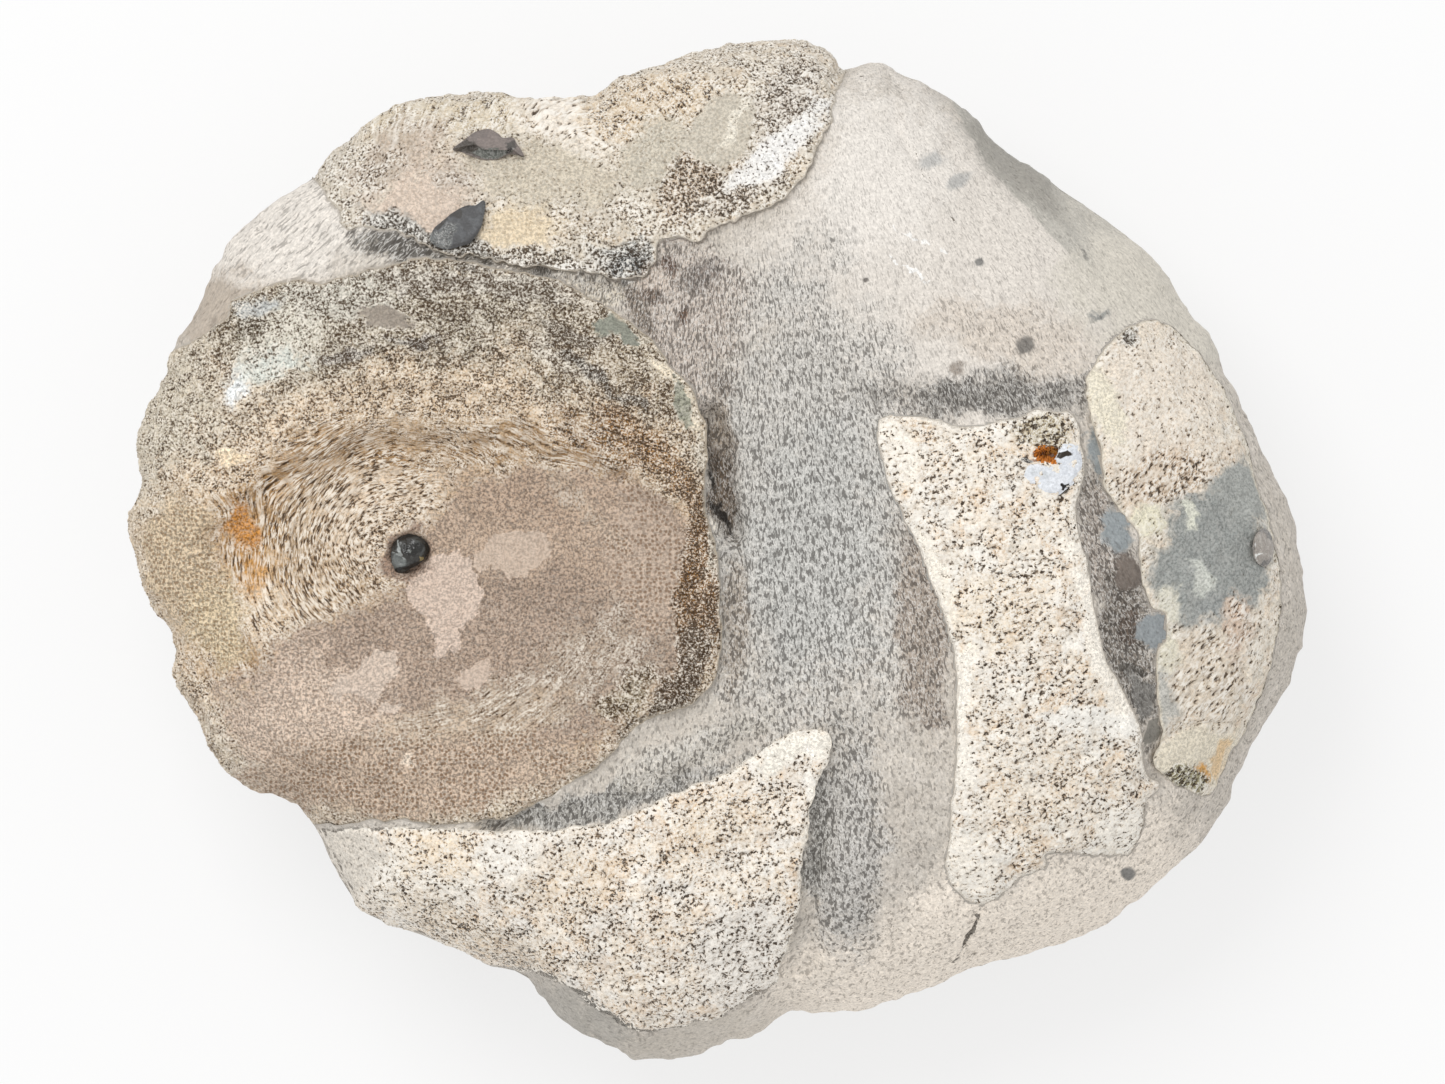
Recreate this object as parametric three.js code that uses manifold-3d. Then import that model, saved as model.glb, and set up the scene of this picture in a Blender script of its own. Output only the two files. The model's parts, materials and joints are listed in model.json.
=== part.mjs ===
// A wave-worn limestone cobble that holds five ichthyosaur vertebrae.
//
// The cobble lies on its flat underside. Each vertebra is a short disc of fossil bone, worn down almost
// level with the stone, and sits in its own pocket in the matrix. Small pieces fill hollows in the bone:
// the mudstone plug of the notochord pit, two mudstone chips, a crust of calcite and a dark nodule.
// Millimetres, +Z up, with the origin on the underside, below the middle of the cobble.
import * as THREE from "three";
import { mergeVertices } from "three/addons/utils/BufferGeometryUtils.js";
import Module from "manifold-3d";

const wasm = await Module();
wasm.setup();

// ---- Driving dimensions ----

const CROWN = 44; // highest level of the matrix over the flat underside
const BONE_LIFT = 0.9; // how proud of the stone the bone stands on the crown
const WIDEST = 22; // mean level of the cobble's widest line
const WIDEST_TILT = new THREE.Vector2(-0.07, 0.04); // the widest line climbs to the left and the back
const UNDERSIDE_SINK = 5; // depth ground off the round underside, which leaves the flat to rest on
const TOP_RINGS = 13; // rings of facets from the crown to the widest line
const UNDERSIDE_RINGS = 6; // and from there to the middle of the underside
const TOP_SQUARENESS = { plan: 3.8, rise: 2.1 }; // powers of the superellipse above the widest line
const UNDERSIDE_SQUARENESS = { plan: 2.8, rise: 2 };

const GAP = 0.3; // between a piece and the pocket that it sits in
const SMOOTH_STEPS = 2; // facets on each span of a smoothed outline
const ROUND_SIDES = 36; // facets round a large turned shape
const LUMP_SIDES = 14; // facets round a small lump
const SKY = 70; // a level above everything, where cutting shapes end

// The widest line of the cobble seen from above, anticlockwise from its left end.
const COBBLE_OUTLINE = [
  [-58.9, 3.5], [-57.8, -2], [-55, -7.5], [-53.8, -12.3], [-51.6, -17], [-50, -21.2],
  [-46.3, -24.2], [-41.8, -26.7], [-38.9, -28.3], [-37, -33], [-34, -35.7], [-28.7, -38.7],
  [-22.7, -41], [-18.9, -42.3], [-15.7, -46], [-11.7, -49], [-8.2, -51.3], [-1.7, -50],
  [4.3, -48], [6.8, -45.8], [13, -45.9], [20.3, -44], [25.6, -41.6], [30.3, -41.2],
  [36.3, -39], [42.3, -35], [47.3, -31.5], [49.8, -28], [50.8, -24], [53.3, -20],
  [56.3, -15], [58.3, -10], [58.9, -5], [58.3, -1], [56.3, 6], [53.3, 13],
  [50.3, 19], [47.8, 23], [45.8, 27.5], [42.3, 31], [35.8, 35], [29.3, 39],
  [24.3, 43.5], [18.3, 48], [15.3, 48.8], [12.1, 47.6], [10.3, 50.2], [5.8, 51.3],
  [-3.7, 49.2], [-9.2, 46.8], [-12.7, 45.3], [-18.7, 45.4], [-24.7, 45.8], [-30.7, 44.7],
  [-37.2, 40.2], [-40.1, 37], [-43, 35.9], [-47.2, 32], [-50.7, 26.5], [-54.2, 20],
  [-55.7, 16.5], [-57.7, 12],
];

// Low swells (+) and hollows (-) of the worn top: centre, reach along x and y, and height.
const SWELLS = [
  { at: [9, -8], reach: [8, 26], height: -2.4 },
  { at: [20, 30], reach: [12, 13], height: 1.4 },
  { at: [-6, 26], reach: [7, 6], height: -1.4 },
  { at: [30, -12], reach: [9, 22], height: 1 },
  { at: [-12, -36], reach: [20, 9], height: 1.6 },
  { at: [-46, 12], reach: [12, 30], height: -3 },
  { at: [47, -4], reach: [8, 20], height: -2 },
];

// The flat that the sea ground on the cobble's back right shoulder: a point on it, and its outward way.
const WORN_FLAT = { at: [31, 35, 41], faces: [0.62, 0.46, 0.63] };

// ---- Solids ----

// A closed three.js geometry as a manifold solid.
function solidFrom(geometry) {
  const bare = geometry.index ? geometry.toNonIndexed() : geometry.clone();
  bare.deleteAttribute("normal");
  bare.deleteAttribute("uv");
  const merged = mergeVertices(bare, 1e-4);
  return new wasm.Manifold(
    new wasm.Mesh({
      numProp: 3,
      vertProperties: new Float32Array(merged.getAttribute("position").array),
      triVerts: new Uint32Array(merged.index.array),
    }),
  );
}

// A manifold solid as a three.js geometry with flat facets.
function geometryFrom(solid) {
  const mesh = solid.getMesh();
  const position = new THREE.BufferAttribute(new Float32Array(mesh.vertProperties), 3);
  const indexed = new THREE.BufferGeometry().setAttribute("position", position);
  indexed.setIndex(new THREE.BufferAttribute(new Uint32Array(mesh.triVerts), 1));
  const facets = indexed.toNonIndexed();
  facets.computeVertexNormals();
  return facets;
}

// A block that reaches far out from the worn flat: what the sea ground away.
function groundAway({ at, faces }) {
  const block = new THREE.BoxGeometry(2 * SKY, 2 * SKY, SKY).translate(0, 0, SKY / 2);
  const out = new THREE.Vector3(...faces).normalize();
  block.applyQuaternion(new THREE.Quaternion().setFromUnitVectors(new THREE.Vector3(0, 0, 1), out));
  return solidFrom(block.translate(...at));
}

// A rounded lump: an ellipsoid of three reaches, turned about the upright axis.
function lumpSolid({ at, reach, turn = 0 }, grow = 0) {
  const sphere = new THREE.SphereGeometry(1, LUMP_SIDES, LUMP_SIDES / 2 + 1);
  sphere.rotateX(Math.PI / 2);
  sphere.scale(reach[0] + grow, reach[1] + grow, reach[2] + grow);
  return solidFrom(sphere.rotateZ(turn).translate(...at));
}

// ---- Cobble ----

function swellAt(x, y) {
  let height = 0;
  for (const { at, reach, height: peak } of SWELLS) {
    const away = ((x - at[0]) / reach[0]) ** 2 + ((y - at[1]) / reach[1]) ** 2;
    height += peak * Math.exp(-away);
  }
  return height;
}

// The whole cobble as one solid. lift raises its top, as on bone, which wore down less than stone.
function cobbleSolid(lift) {
  const columns = COBBLE_OUTLINE.length;
  const rings = TOP_RINGS + UNDERSIDE_RINGS;
  const sphere = new THREE.SphereGeometry(1, columns, rings);
  const position = sphere.getAttribute("position");
  const uv = sphere.getAttribute("uv");
  for (let i = 0; i < position.count; i += 1) {
    const [rimX, rimY] = COBBLE_OUTLINE[Math.round(uv.getX(i) * columns) % columns];
    const widest = WIDEST + rimX * WIDEST_TILT.x + rimY * WIDEST_TILT.y;
    const ring = TOP_RINGS - Math.round((1 - uv.getY(i)) * rings);
    const above = ring >= 0;
    const turn = (Math.PI / 2) * Math.abs(ring / (above ? TOP_RINGS : UNDERSIDE_RINGS));
    const squareness = above ? TOP_SQUARENESS : UNDERSIDE_SQUARENESS;
    const spread = Math.max(0, Math.cos(turn)) ** (2 / squareness.plan);
    const rise = Math.sin(turn) ** (2 / squareness.rise);
    const x = rimX * spread;
    const y = rimY * spread;
    const crown = CROWN + lift + swellAt(x, y);
    const z = above ? widest + (crown - widest) * rise : widest - (widest + UNDERSIDE_SINK) * rise;
    position.setXYZ(i, x, y, Math.max(0, z));
  }
  return solidFrom(sphere).subtract(groundAway(WORN_FLAT));
}

// ---- Vertebrae ----

// The points of an outline, smoothed, and moved outwards by grow.
function smoothOutline(points, grow) {
  const corners = points.map(([x, y]) => new THREE.Vector3(x, y, 0));
  const curve = new THREE.CatmullRomCurve3(corners, true, "centripetal");
  const count = points.length * SMOOTH_STEPS;
  const moved = [];
  for (let i = 0; i < count; i += 1) {
    const point = curve.getPoint(i / count);
    const along = curve.getTangent(i / count);
    moved.push(new THREE.Vector2(point.x + along.y * grow, point.y - along.x * grow));
  }
  return moved;
}

// An upright prism of an outline, from a floor to above the cobble.
function prismSolid(points, floor, grow) {
  const shape = new THREE.Shape(smoothOutline(points, grow));
  const prism = new THREE.ExtrudeGeometry(shape, {
    depth: SKY - floor + grow,
    bevelEnabled: false,
  });
  return solidFrom(prism.translate(0, 0, floor - grow));
}

// The round edge of a disc that stands upright in the stone: a cylinder that lies along its axis.
function keelSolid({ at, radius, turn }, grow) {
  const cylinder = new THREE.CylinderGeometry(radius + grow, radius + grow, 2 * SKY, ROUND_SIDES);
  return solidFrom(cylinder.rotateZ(Math.PI / 2 + turn).translate(...at));
}

// The space of one vertebra, up to the sky.
function vertebraSpace({ outline, floor, keel }, grow) {
  const prism = prismSolid(outline, floor, grow);
  return keel ? prism.intersect(keelSolid(keel, grow)) : prism;
}

// The round vertebra faces up. Its left side is the edge of the cobble, so its outline runs past it.
const ROUND_VERTEBRA = {
  outline: [
    [-62, 3.5], [-60, -6], [-57, -14], [-53, -24], [-46, -29], [-38.5, -27.8], [-29, -27.2],
    [-22.5, -25], [-15.3, -22], [-8, -18.3], [-2, -14.8], [0.5, -9], [0.8, 0], [0.6, 8],
    [-2.2, 14.8], [-7.4, 21.4], [-13.6, 25.6], [-20, 28.4], [-27, 29.6], [-35, 28.4], [-44, 26.4],
    [-53, 24.5], [-59, 21], [-61.5, 12],
  ],
  floor: 23,
};

// The upper vertebra leans back, and its far side is the edge of the cobble.
const UPPER_VERTEBRA = {
  outline: [
    [-43, 40], [-39.3, 35.4], [-36, 32.6], [-30, 31.4], [-24, 31], [-18.7, 29.6], [-15, 28.3],
    [-8, 28.6], [-4.6, 30.6], [1.8, 32.8], [7.3, 36.2], [10.6, 40.5], [11.4, 45], [13.2, 50],
    [10, 54], [2, 54], [-8, 51], [-16, 49], [-27, 50], [-37, 46],
  ],
  floor: 20,
};

// The lower vertebra is worn through along its length, and widens to the right.
const LOWER_VERTEBRA = {
  outline: [
    [-38.6, -28.9], [-42, -34], [-34, -41], [-24, -44.5], [-18.4, -43.2], [-14, -44.4],
    [-9.2, -47.6], [-4.6, -47.8], [1.5, -46], [6.5, -42.8], [7.8, -37], [8.9, -28.2],
    [10.8, -20.2], [9.2, -18.3], [3, -21.2], [-6.8, -25.9], [-13, -27.9], [-21, -28.7], [-30, -28.7],
  ],
  floor: 23,
};

// The middle vertebra is cut lengthwise too, through both of its hollow ends: an hourglass.
const MIDDLE_VERTEBRA = {
  outline: [
    [16.4, 12.6], [17, 8], [19.4, 2], [22.4, -6], [24, -14], [23.8, -22], [22.9, -31],
    [24.2, -35], [27.6, -34.8], [30, -32.4], [34.6, -30.4], [40, -30.6], [42.4, -29],
    [43.4, -24.6], [42, -19], [39, -12], [36.6, -4], [35.8, 4], [36.3, 11], [34.4, 13.8],
    [30, 13.2], [25, 12.4], [20, 13.3],
  ],
  floor: 8,
  keel: { at: [30, -10.5, 38], radius: 26.5, turn: -0.14 },
};

// The right vertebra curves over towards the cobble's right side.
const RIGHT_VERTEBRA = {
  outline: [
    [37.4, 18.6], [36.9, 14.8], [38.8, 10.4], [38.9, 6], [42, 1.2], [42.6, -4.6], [45, -8.4],
    [43.8, -13], [44.5, -18], [44.9, -22.6], [47.6, -24.6], [51, -21], [54.2, -15.4], [56, -9],
    [56.3, -2], [54, 7], [51, 14.6], [47.2, 21], [43.9, 22.6], [40, 21.2],
  ],
  floor: 21,
};

// ---- Hollows in the bone, and what fills them ----

const ROUND_CENTRE = [-30.8, -0.2]; // where the notochord ran through the round vertebra
const DISH = { radius: 27, depth: 7, rim: 43.2, power: 1.3, lean: 0.1 };
const DISH_STEPS = 5;
const PIT = { radius: 2.3, depth: 3.4 };
const PIT_FLOOR = DISH.rim - DISH.depth - PIT.depth;

// The hollow end face of the round vertebra: a shallow funnel that steepens to the notochord pit.
function dishSolid() {
  const profile = [new THREE.Vector2(0, -DISH.depth)];
  for (let i = 1; i <= DISH_STEPS; i += 1) {
    const share = i / DISH_STEPS;
    const level = DISH.depth * (share ** DISH.power - 1);
    profile.push(new THREE.Vector2(DISH.radius * share, level));
  }
  profile.push(new THREE.Vector2(DISH.radius + 6, 8));
  profile.push(new THREE.Vector2(0, 8));
  const funnel = new THREE.LatheGeometry(profile, ROUND_SIDES);
  funnel.rotateX(Math.PI / 2);
  funnel.rotateY(-DISH.lean);
  return solidFrom(funnel.translate(...ROUND_CENTRE, DISH.rim));
}

function pitSolid() {
  const cylinder = new THREE.CylinderGeometry(PIT.radius, PIT.radius, SKY - PIT_FLOOR, LUMP_SIDES);
  cylinder.rotateX(Math.PI / 2);
  return solidFrom(cylinder.translate(...ROUND_CENTRE, (SKY + PIT_FLOOR) / 2));
}

// The leaning face of the upper vertebra is a long shallow hollow.
const UPPER_HOLLOW = { at: [-12, 38.5, 53.5], reach: [30, 13, 13], turn: 0.1 };

const NOTOCHORD_PLUG = { at: [...ROUND_CENTRE, PIT_FLOOR + 2.4], reach: [1.9, 1.9, 2] };
const UPPER_CHIP = { at: [-22.6, 40.6, 36.6], reach: [3.6, 1.6, 2], turn: -0.1 };
const LOWER_CHIP = { at: [-25.4, 32.9, 39.9], reach: [3, 1.7, 2.1], turn: 0.62 };
const CALCITE_CRUST = { at: [33.2, 8, 42.6], reach: [2.9, 2.7, 2.1], turn: 0.2 };
const RIGHT_NODULE = { at: [54.4, 0.3, 30], reach: [1.4, 1.9, 1.8] };

// ---- Assembly ----

const VERTEBRAE = [
  ROUND_VERTEBRA,
  UPPER_VERTEBRA,
  LOWER_VERTEBRA,
  MIDDLE_VERTEBRA,
  RIGHT_VERTEBRA,
];
const INCLUSIONS = [UPPER_CHIP, LOWER_CHIP, CALCITE_CRUST, RIGHT_NODULE];

// A solid with a pocket for each small piece that reaches into it.
function pocketed(solid) {
  return INCLUSIONS.reduce((left, lump) => left.subtract(lumpSolid(lump, GAP)), solid);
}

const wornBone = pocketed(cobbleSolid(BONE_LIFT));
const boneOf = (vertebra) => vertebraSpace(vertebra, 0).intersect(wornBone);
const roundBone = boneOf(ROUND_VERTEBRA).subtract(dishSolid()).subtract(pitSolid());
const upperBone = boneOf(UPPER_VERTEBRA).subtract(lumpSolid(UPPER_HOLLOW));
const matrix = VERTEBRAE.reduce(
  (left, vertebra) => left.subtract(vertebraSpace(vertebra, GAP)),
  pocketed(cobbleSolid(0)),
);

const stoneMaterial = (color, roughness) =>
  new THREE.MeshStandardMaterial({ color, roughness, metalness: 0, flatShading: true });

const PIECES = [
  ["matrix_stone", matrix, stoneMaterial(0xbdb6ac, 0.85)],
  ["vertebra_round", roundBone, stoneMaterial(0xb3a38f, 0.85)],
  ["vertebra_upper", upperBone, stoneMaterial(0xc9c0ad, 0.8)],
  ["vertebra_lower", boneOf(LOWER_VERTEBRA), stoneMaterial(0xd9cebb, 0.85)],
  ["vertebra_middle", boneOf(MIDDLE_VERTEBRA), stoneMaterial(0xdcd2c0, 0.85)],
  ["vertebra_right", boneOf(RIGHT_VERTEBRA), stoneMaterial(0xc6bfb0, 0.75)],
  ["notochord_plug", lumpSolid(NOTOCHORD_PLUG), stoneMaterial(0x35373a, 0.35)],
  ["mudstone_chip_upper", lumpSolid(UPPER_CHIP), stoneMaterial(0x5e5a57, 0.6)],
  ["mudstone_chip_lower", lumpSolid(LOWER_CHIP), stoneMaterial(0x55585c, 0.6)],
  ["calcite_crust", lumpSolid(CALCITE_CRUST), stoneMaterial(0xdcdcdf, 0.5)],
  ["nodule_right", lumpSolid(RIGHT_NODULE), stoneMaterial(0x6a6862, 0.4)],
];

const fossil = new THREE.Group();
for (const [name, solid, material] of PIECES) {
  const mesh = new THREE.Mesh(geometryFrom(solid), material);
  mesh.name = name;
  fossil.add(mesh);
}

export default fossil;
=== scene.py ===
import bpy
import json
import math
from collections import namedtuple
import numpy as np
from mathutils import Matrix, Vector
from mathutils.bvhtree import BVHTree
from mathutils.kdtree import KDTree

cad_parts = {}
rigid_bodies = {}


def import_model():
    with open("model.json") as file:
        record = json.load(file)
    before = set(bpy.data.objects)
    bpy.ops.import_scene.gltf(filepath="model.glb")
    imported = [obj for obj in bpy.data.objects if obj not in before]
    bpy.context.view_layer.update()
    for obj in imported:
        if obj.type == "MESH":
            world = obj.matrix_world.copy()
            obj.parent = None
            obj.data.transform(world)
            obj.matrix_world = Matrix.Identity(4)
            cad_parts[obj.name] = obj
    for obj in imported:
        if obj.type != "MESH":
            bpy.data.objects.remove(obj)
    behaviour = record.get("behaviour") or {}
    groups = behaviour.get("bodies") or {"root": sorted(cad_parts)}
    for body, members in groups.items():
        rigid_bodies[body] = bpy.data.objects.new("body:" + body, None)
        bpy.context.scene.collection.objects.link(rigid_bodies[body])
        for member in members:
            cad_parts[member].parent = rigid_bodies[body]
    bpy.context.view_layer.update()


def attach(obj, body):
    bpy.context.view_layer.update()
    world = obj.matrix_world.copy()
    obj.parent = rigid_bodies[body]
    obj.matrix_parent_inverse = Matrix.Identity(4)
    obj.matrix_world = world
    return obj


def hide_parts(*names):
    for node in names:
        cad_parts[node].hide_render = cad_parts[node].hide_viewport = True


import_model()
scene = bpy.context.scene

# ---------------------------------------------------------------------------------------------------
# The studio: a white table under broad soft light that comes a little from the upper left, and a
# camera that looks straight down through a long lens.
# ---------------------------------------------------------------------------------------------------
MM = 0.001  # metres in a millimetre
VIEW_WIDTH = 144.5 * MM  # what the camera takes in at the focus level
FOCUS_LEVEL = 28 * MM
CAMERA_HEIGHT = 3.5  # metres
SENSOR = 36  # mm, as Blender gives a sensor and a lens
HALF_TABLE = 2.0  # metres

camera_data = bpy.data.cameras.new("overhead_camera")
camera_data.sensor_width = SENSOR
camera_data.lens = SENSOR * (CAMERA_HEIGHT - FOCUS_LEVEL) / VIEW_WIDTH
camera = bpy.data.objects.new("overhead_camera", camera_data)
camera.location = (0.6 * MM, 0.9 * MM, CAMERA_HEIGHT)
scene.collection.objects.link(camera)
scene.camera = camera

world = bpy.data.worlds.new("white_room")
world.use_nodes = True
world.node_tree.nodes["Background"].inputs["Color"].default_value = (1, 1, 1, 1)
world.node_tree.nodes["Background"].inputs["Strength"].default_value = 0.86
scene.world = world
scene.view_settings.view_transform = "Standard"


def soft_box(name, place, size, power):
    """A square lamp at place, in metres, that faces the middle of the table."""
    light = bpy.data.lights.new(name, "AREA")
    light.size = size
    light.energy = power
    lamp = bpy.data.objects.new(name, light)
    lamp.rotation_mode = "QUATERNION"
    lamp.rotation_quaternion = Vector([-c for c in place]).to_track_quat("-Z", "Y")
    lamp.location = place
    scene.collection.objects.link(lamp)


soft_box("key_soft_box", (-0.3, 0.45, 0.9), 0.5, 4.4)

table_mesh = bpy.data.meshes.new("table")
table_corners = [(-1, -1, 0), (1, -1, 0), (1, 1, 0), (-1, 1, 0)]
table_points = [(x * HALF_TABLE, y * HALF_TABLE, z) for x, y, z in table_corners]
table_mesh.from_pydata(table_points, [], [(0, 1, 2, 3)])
table = bpy.data.objects.new("table", table_mesh)
scene.collection.objects.link(table)
table_finish = bpy.data.materials.new("white_table")
table_finish.use_nodes = True
table_surface = table_finish.node_tree.nodes["Principled BSDF"]
table_surface.inputs["Base Color"].default_value = (0.25, 0.25, 0.25, 1)
table_surface.inputs["Roughness"].default_value = 0.7
table_surface.inputs["Emission Color"].default_value = (1, 1, 1, 1)
table_surface.inputs["Emission Strength"].default_value = 0.665
table_mesh.materials.append(table_finish)

# ---------------------------------------------------------------------------------------------------
# The round vertebra: one centrum lying flat, its hollow face upwards. It is fossil bone, spongy at
# the rim, in thin curved sheets near the middle, and partly under a smooth brown skin.
# It sits in the cobble and was worn with it, so its top is part of the cobble's worn form.
# ---------------------------------------------------------------------------------------------------
COBBLE_OUTLINE = [
    (-58.9, 2.7), (-57.9, -1.4), (-56.2, -5.5), (-54.2, -9.1), (-54.1, -13.2), (-52.1, -16.9),
    (-50.5, -20.4), (-47.2, -23.4), (-43.2, -24.9), (-40.5, -27.3), (-38.1, -31.9), (-36.2, -35.3),
    (-34.6, -36.5), (-29.1, -38.7), (-22.9, -41.4), (-19.2, -42.2), (-17.7, -44.4), (-15.5, -46.8),
    (-10.7, -49.6), (-8.6, -51.2), (-7.7, -51.1), (-3.2, -50.5), (0.9, -49.2), (4.2, -48.0),
    (7.1, -46.0), (11.5, -46.1), (15.4, -45.6), (21.6, -43.6), (25.2, -41.7), (26.6, -41.2),
    (30.4, -40.6), (35.4, -38.9), (39.4, -36.9), (43.4, -33.9), (46.4, -31.4), (48.9, -28.4),
    (50.9, -24.9), (52.9, -20.4), (54.9, -16.9), (57.4, -12.9), (58.7, -8.9), (58.9, -3.9),
    (58.4, 0.6), (57.4, 4.1), (54.2, 11.6), (50.9, 18.1), (49.9, 20.8), (47.4, 23.6),
    (43.9, 28.9), (41.4, 31.1), (33.4, 37.1), (28.4, 40.6), (24.4, 44.1), (20.4, 46.7),
    (17.4, 48.5), (15.4, 48.8), (13.9, 48.3), (12.5, 47.8), (11.5, 49.4), (9.2, 50.6),
    (5.7, 51.3), (2.2, 50.9), (-1.9, 49.9), (-5.8, 48.7), (-9.6, 47.5), (-11.2, 46.2),
    (-12.5, 45.4), (-16.4, 45.2), (-19.7, 45.3), (-21.4, 45.9), (-24.2, 46.0), (-30.2, 45.2),
    (-33.1, 43.7), (-38.5, 40.0), (-40.2, 37.5), (-43.7, 35.1), (-48.2, 31.4), (-50.2, 28.0),
    (-54.2, 20.0), (-54.9, 17.6), (-56.0, 16.0), (-57.4, 12.6), (-57.9, 10.1), (-57.6, 6.2),
]
CROWN = 44.0
WIDEST = 22.0  # the level of the cobble's outline, which leans a little
LEAN_X, LEAN_Y = 0.07, 0.04  # how far it drops towards +X and rises towards +Y, for each mm
FADE = (WIDEST - 6, WIDEST - 1)  # the levels between which patches fade out on the flank
FADE_STRAY = 1.2  # how unevenly they fade, in mm
SKY = 60.0  # a level above the whole cobble
FLOOR_WAVES = ((1.3, 6.0, 51), (0.6, 1.8, 52))  # height, size and seed of the waves in a piece's floor
TOP_PLAN, TOP_RISE = 3.8, 2.1  # how square the dome of the top is, seen from above and from the side
SWELLS = [  # centre, reach and height of the broad rises and falls of the top
    ((9, -8), (8, 26), -2.4),
    ((20, 30), (12, 13), 1.4),
    ((-6, 26), (7, 6), -1.4),
    ((30, -12), (9, 22), 1.0),
    ((-12, -36), (20, 9), 1.6),
    ((-46, 12), (12, 30), -3.0),
    ((47, -4), (8, 20), -2.0),
]
GROUND_FLAT = ((31, 35, 41), (0.62, 0.46, 0.63))  # a point and the facing of the worn flat


def smooth_loop(points, step):
    """A closed curve through given points, with a point about every step along it."""
    here = np.array(points, float)
    spans = []
    for a, b, c, d in zip(np.roll(here, 1, 0), here, np.roll(here, -1, 0), np.roll(here, -2, 0)):
        count = max(2, int(np.linalg.norm(c - b) / step))
        t = np.linspace(0, 1, count, endpoint=False)[:, None]
        bend = 2 * a - 5 * b + 4 * c - d
        twist = 3 * b - a - 3 * c + d
        spans.append(0.5 * (2 * b + (c - a) * t + bend * t**2 + twist * t**3))
    return np.concatenate(spans)


def mottle(x, y, size, seed):
    """Smooth random values of -1 to 1 that change over about size."""
    heights = np.random.default_rng(seed).uniform(-1, 1, (256, 256))
    u, v = x / size + 1000.3, y / size + 1000.7
    i, j = np.floor(u).astype(int), np.floor(v).astype(int)
    u, v = u - i, v - j
    u, v = u * u * (3 - 2 * u), v * v * (3 - 2 * v)
    i, j = i % 255, j % 255
    low = heights[i, j] * (1 - u) + heights[i + 1, j] * u
    high = heights[i, j + 1] * (1 - u) + heights[i + 1, j + 1] * u
    return low * (1 - v) + high * v


def ragged(loop, sway, seed):
    """The loop with its edge moved in and out by about sway."""
    ahead = np.roll(loop, -1, 0) - np.roll(loop, 1, 0)
    out = np.stack([ahead[:, 1], -ahead[:, 0]], 1) / np.linalg.norm(ahead, axis=1)[:, None]
    shift = mottle(loop[:, 0], loop[:, 1], 1.7, seed) + 0.7 * mottle(loop[:, 0], loop[:, 1], 0.7, seed + 1)
    return loop + out * (shift * sway)[:, None]


cobble_loop = ragged(smooth_loop(COBBLE_OUTLINE, 0.3), 0.16, 5)
loop_turn = np.arctan2(cobble_loop[:, 1], cobble_loop[:, 0])
loop_order = np.argsort(loop_turn)
even_turn = np.linspace(-np.pi, np.pi, 1441)[:-1]
loop_radius = np.hypot(*cobble_loop.T)
edge_radius = np.interp(even_turn, loop_turn[loop_order], loop_radius[loop_order], period=2 * np.pi)
blur = np.hanning(121) / np.hanning(121).sum()
soft_radius = np.convolve(np.tile(edge_radius, 3), blur, "same")[1440:2880]


def ramp(value, low, high):
    """0 below low, 1 above high, and smooth between."""
    share = ((value - low) / (high - low)).clip(0, 1)
    return share * share * (3 - 2 * share)


def lower_of(a, b, soft):
    """The lower of two levels, with the corner between them rounded."""
    return -soft * np.logaddexp(-a / soft, -b / soft)


profile_turn = np.linspace(0, np.pi / 2, 3000)
profile_out = 54 * np.cos(profile_turn) ** (2 / TOP_PLAN)
profile_up = 22 * np.sin(profile_turn) ** (2 / TOP_RISE)
profile_arc = np.concatenate([[0], np.cumsum(np.hypot(np.diff(profile_out), np.diff(profile_up)))])


def fold(across, up):
    """A square grid of -1 to 1 each way folded to a disc: the heading and the distance from its middle."""
    x = across * np.sqrt(1 - up**2 / 2)
    y = up * np.sqrt(1 - across**2 / 2)
    return np.arctan2(y, x), np.minimum(np.hypot(x, y), 1)


def widest_level(edge, heading):
    """The level of the widest line at a heading, where it is edge away from the middle."""
    return WIDEST - LEAN_X * edge * np.cos(heading) + LEAN_Y * edge * np.sin(heading)


def worn_top(across, up, lift):
    """Points of the cobble's top, raised by lift at the crown, from a grid of -1 to 1 each way."""
    heading, out = fold(across, up)
    turn = np.interp(1 - out, profile_arc / profile_arc[-1], profile_turn)
    edge = np.interp(heading, even_turn, edge_radius, period=2 * np.pi)
    soft = np.interp(heading, even_turn, soft_radius, period=2 * np.pi)
    radius = edge + (soft - edge) * ramp(turn, 0.05, 0.75)
    spread = np.cos(turn).clip(0) ** (2 / TOP_PLAN)
    rise = np.sin(turn) ** (2 / TOP_RISE)
    x = radius * spread * np.cos(heading)
    y = radius * spread * np.sin(heading)
    low = widest_level(edge, heading)
    level = CROWN + lift
    for at, reach, height in SWELLS:
        level = level + height * np.exp(-(((x - at[0]) / reach[0]) ** 2) - ((y - at[1]) / reach[1]) ** 2)
    z = low + (level - low) * rise
    at, facing = GROUND_FLAT
    ground = at[2] - ((x - at[0]) * facing[0] + (y - at[1]) * facing[1]) / facing[2]
    return x, y, lower_of(z, ground, 0.3)


def line_distance(line, x, y):
    """How far points are from a line through given points."""
    best = np.full(np.shape(x), 1e9)
    for (ax, ay), (bx, by) in zip(line, line[1:]):
        run_x, run_y = bx - ax, by - ay
        share = (((x - ax) * run_x + (y - ay) * run_y) / (run_x**2 + run_y**2)).clip(0, 1)
        best = np.minimum(best, np.hypot(x - ax - share * run_x, y - ay - share * run_y))
    return best


def grooved(z, x, y, grooves):
    """The surface with grooves in it: each is a line, how far it reaches to the sides, and a depth."""
    for line, reach, depth in grooves:
        wander = 0.35 * reach * mottle(x, y, 1.5 + reach, len(line))
        z = z - depth * np.exp(-(((line_distance(line, x, y) + wander) / reach) ** 2))
    return z


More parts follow.
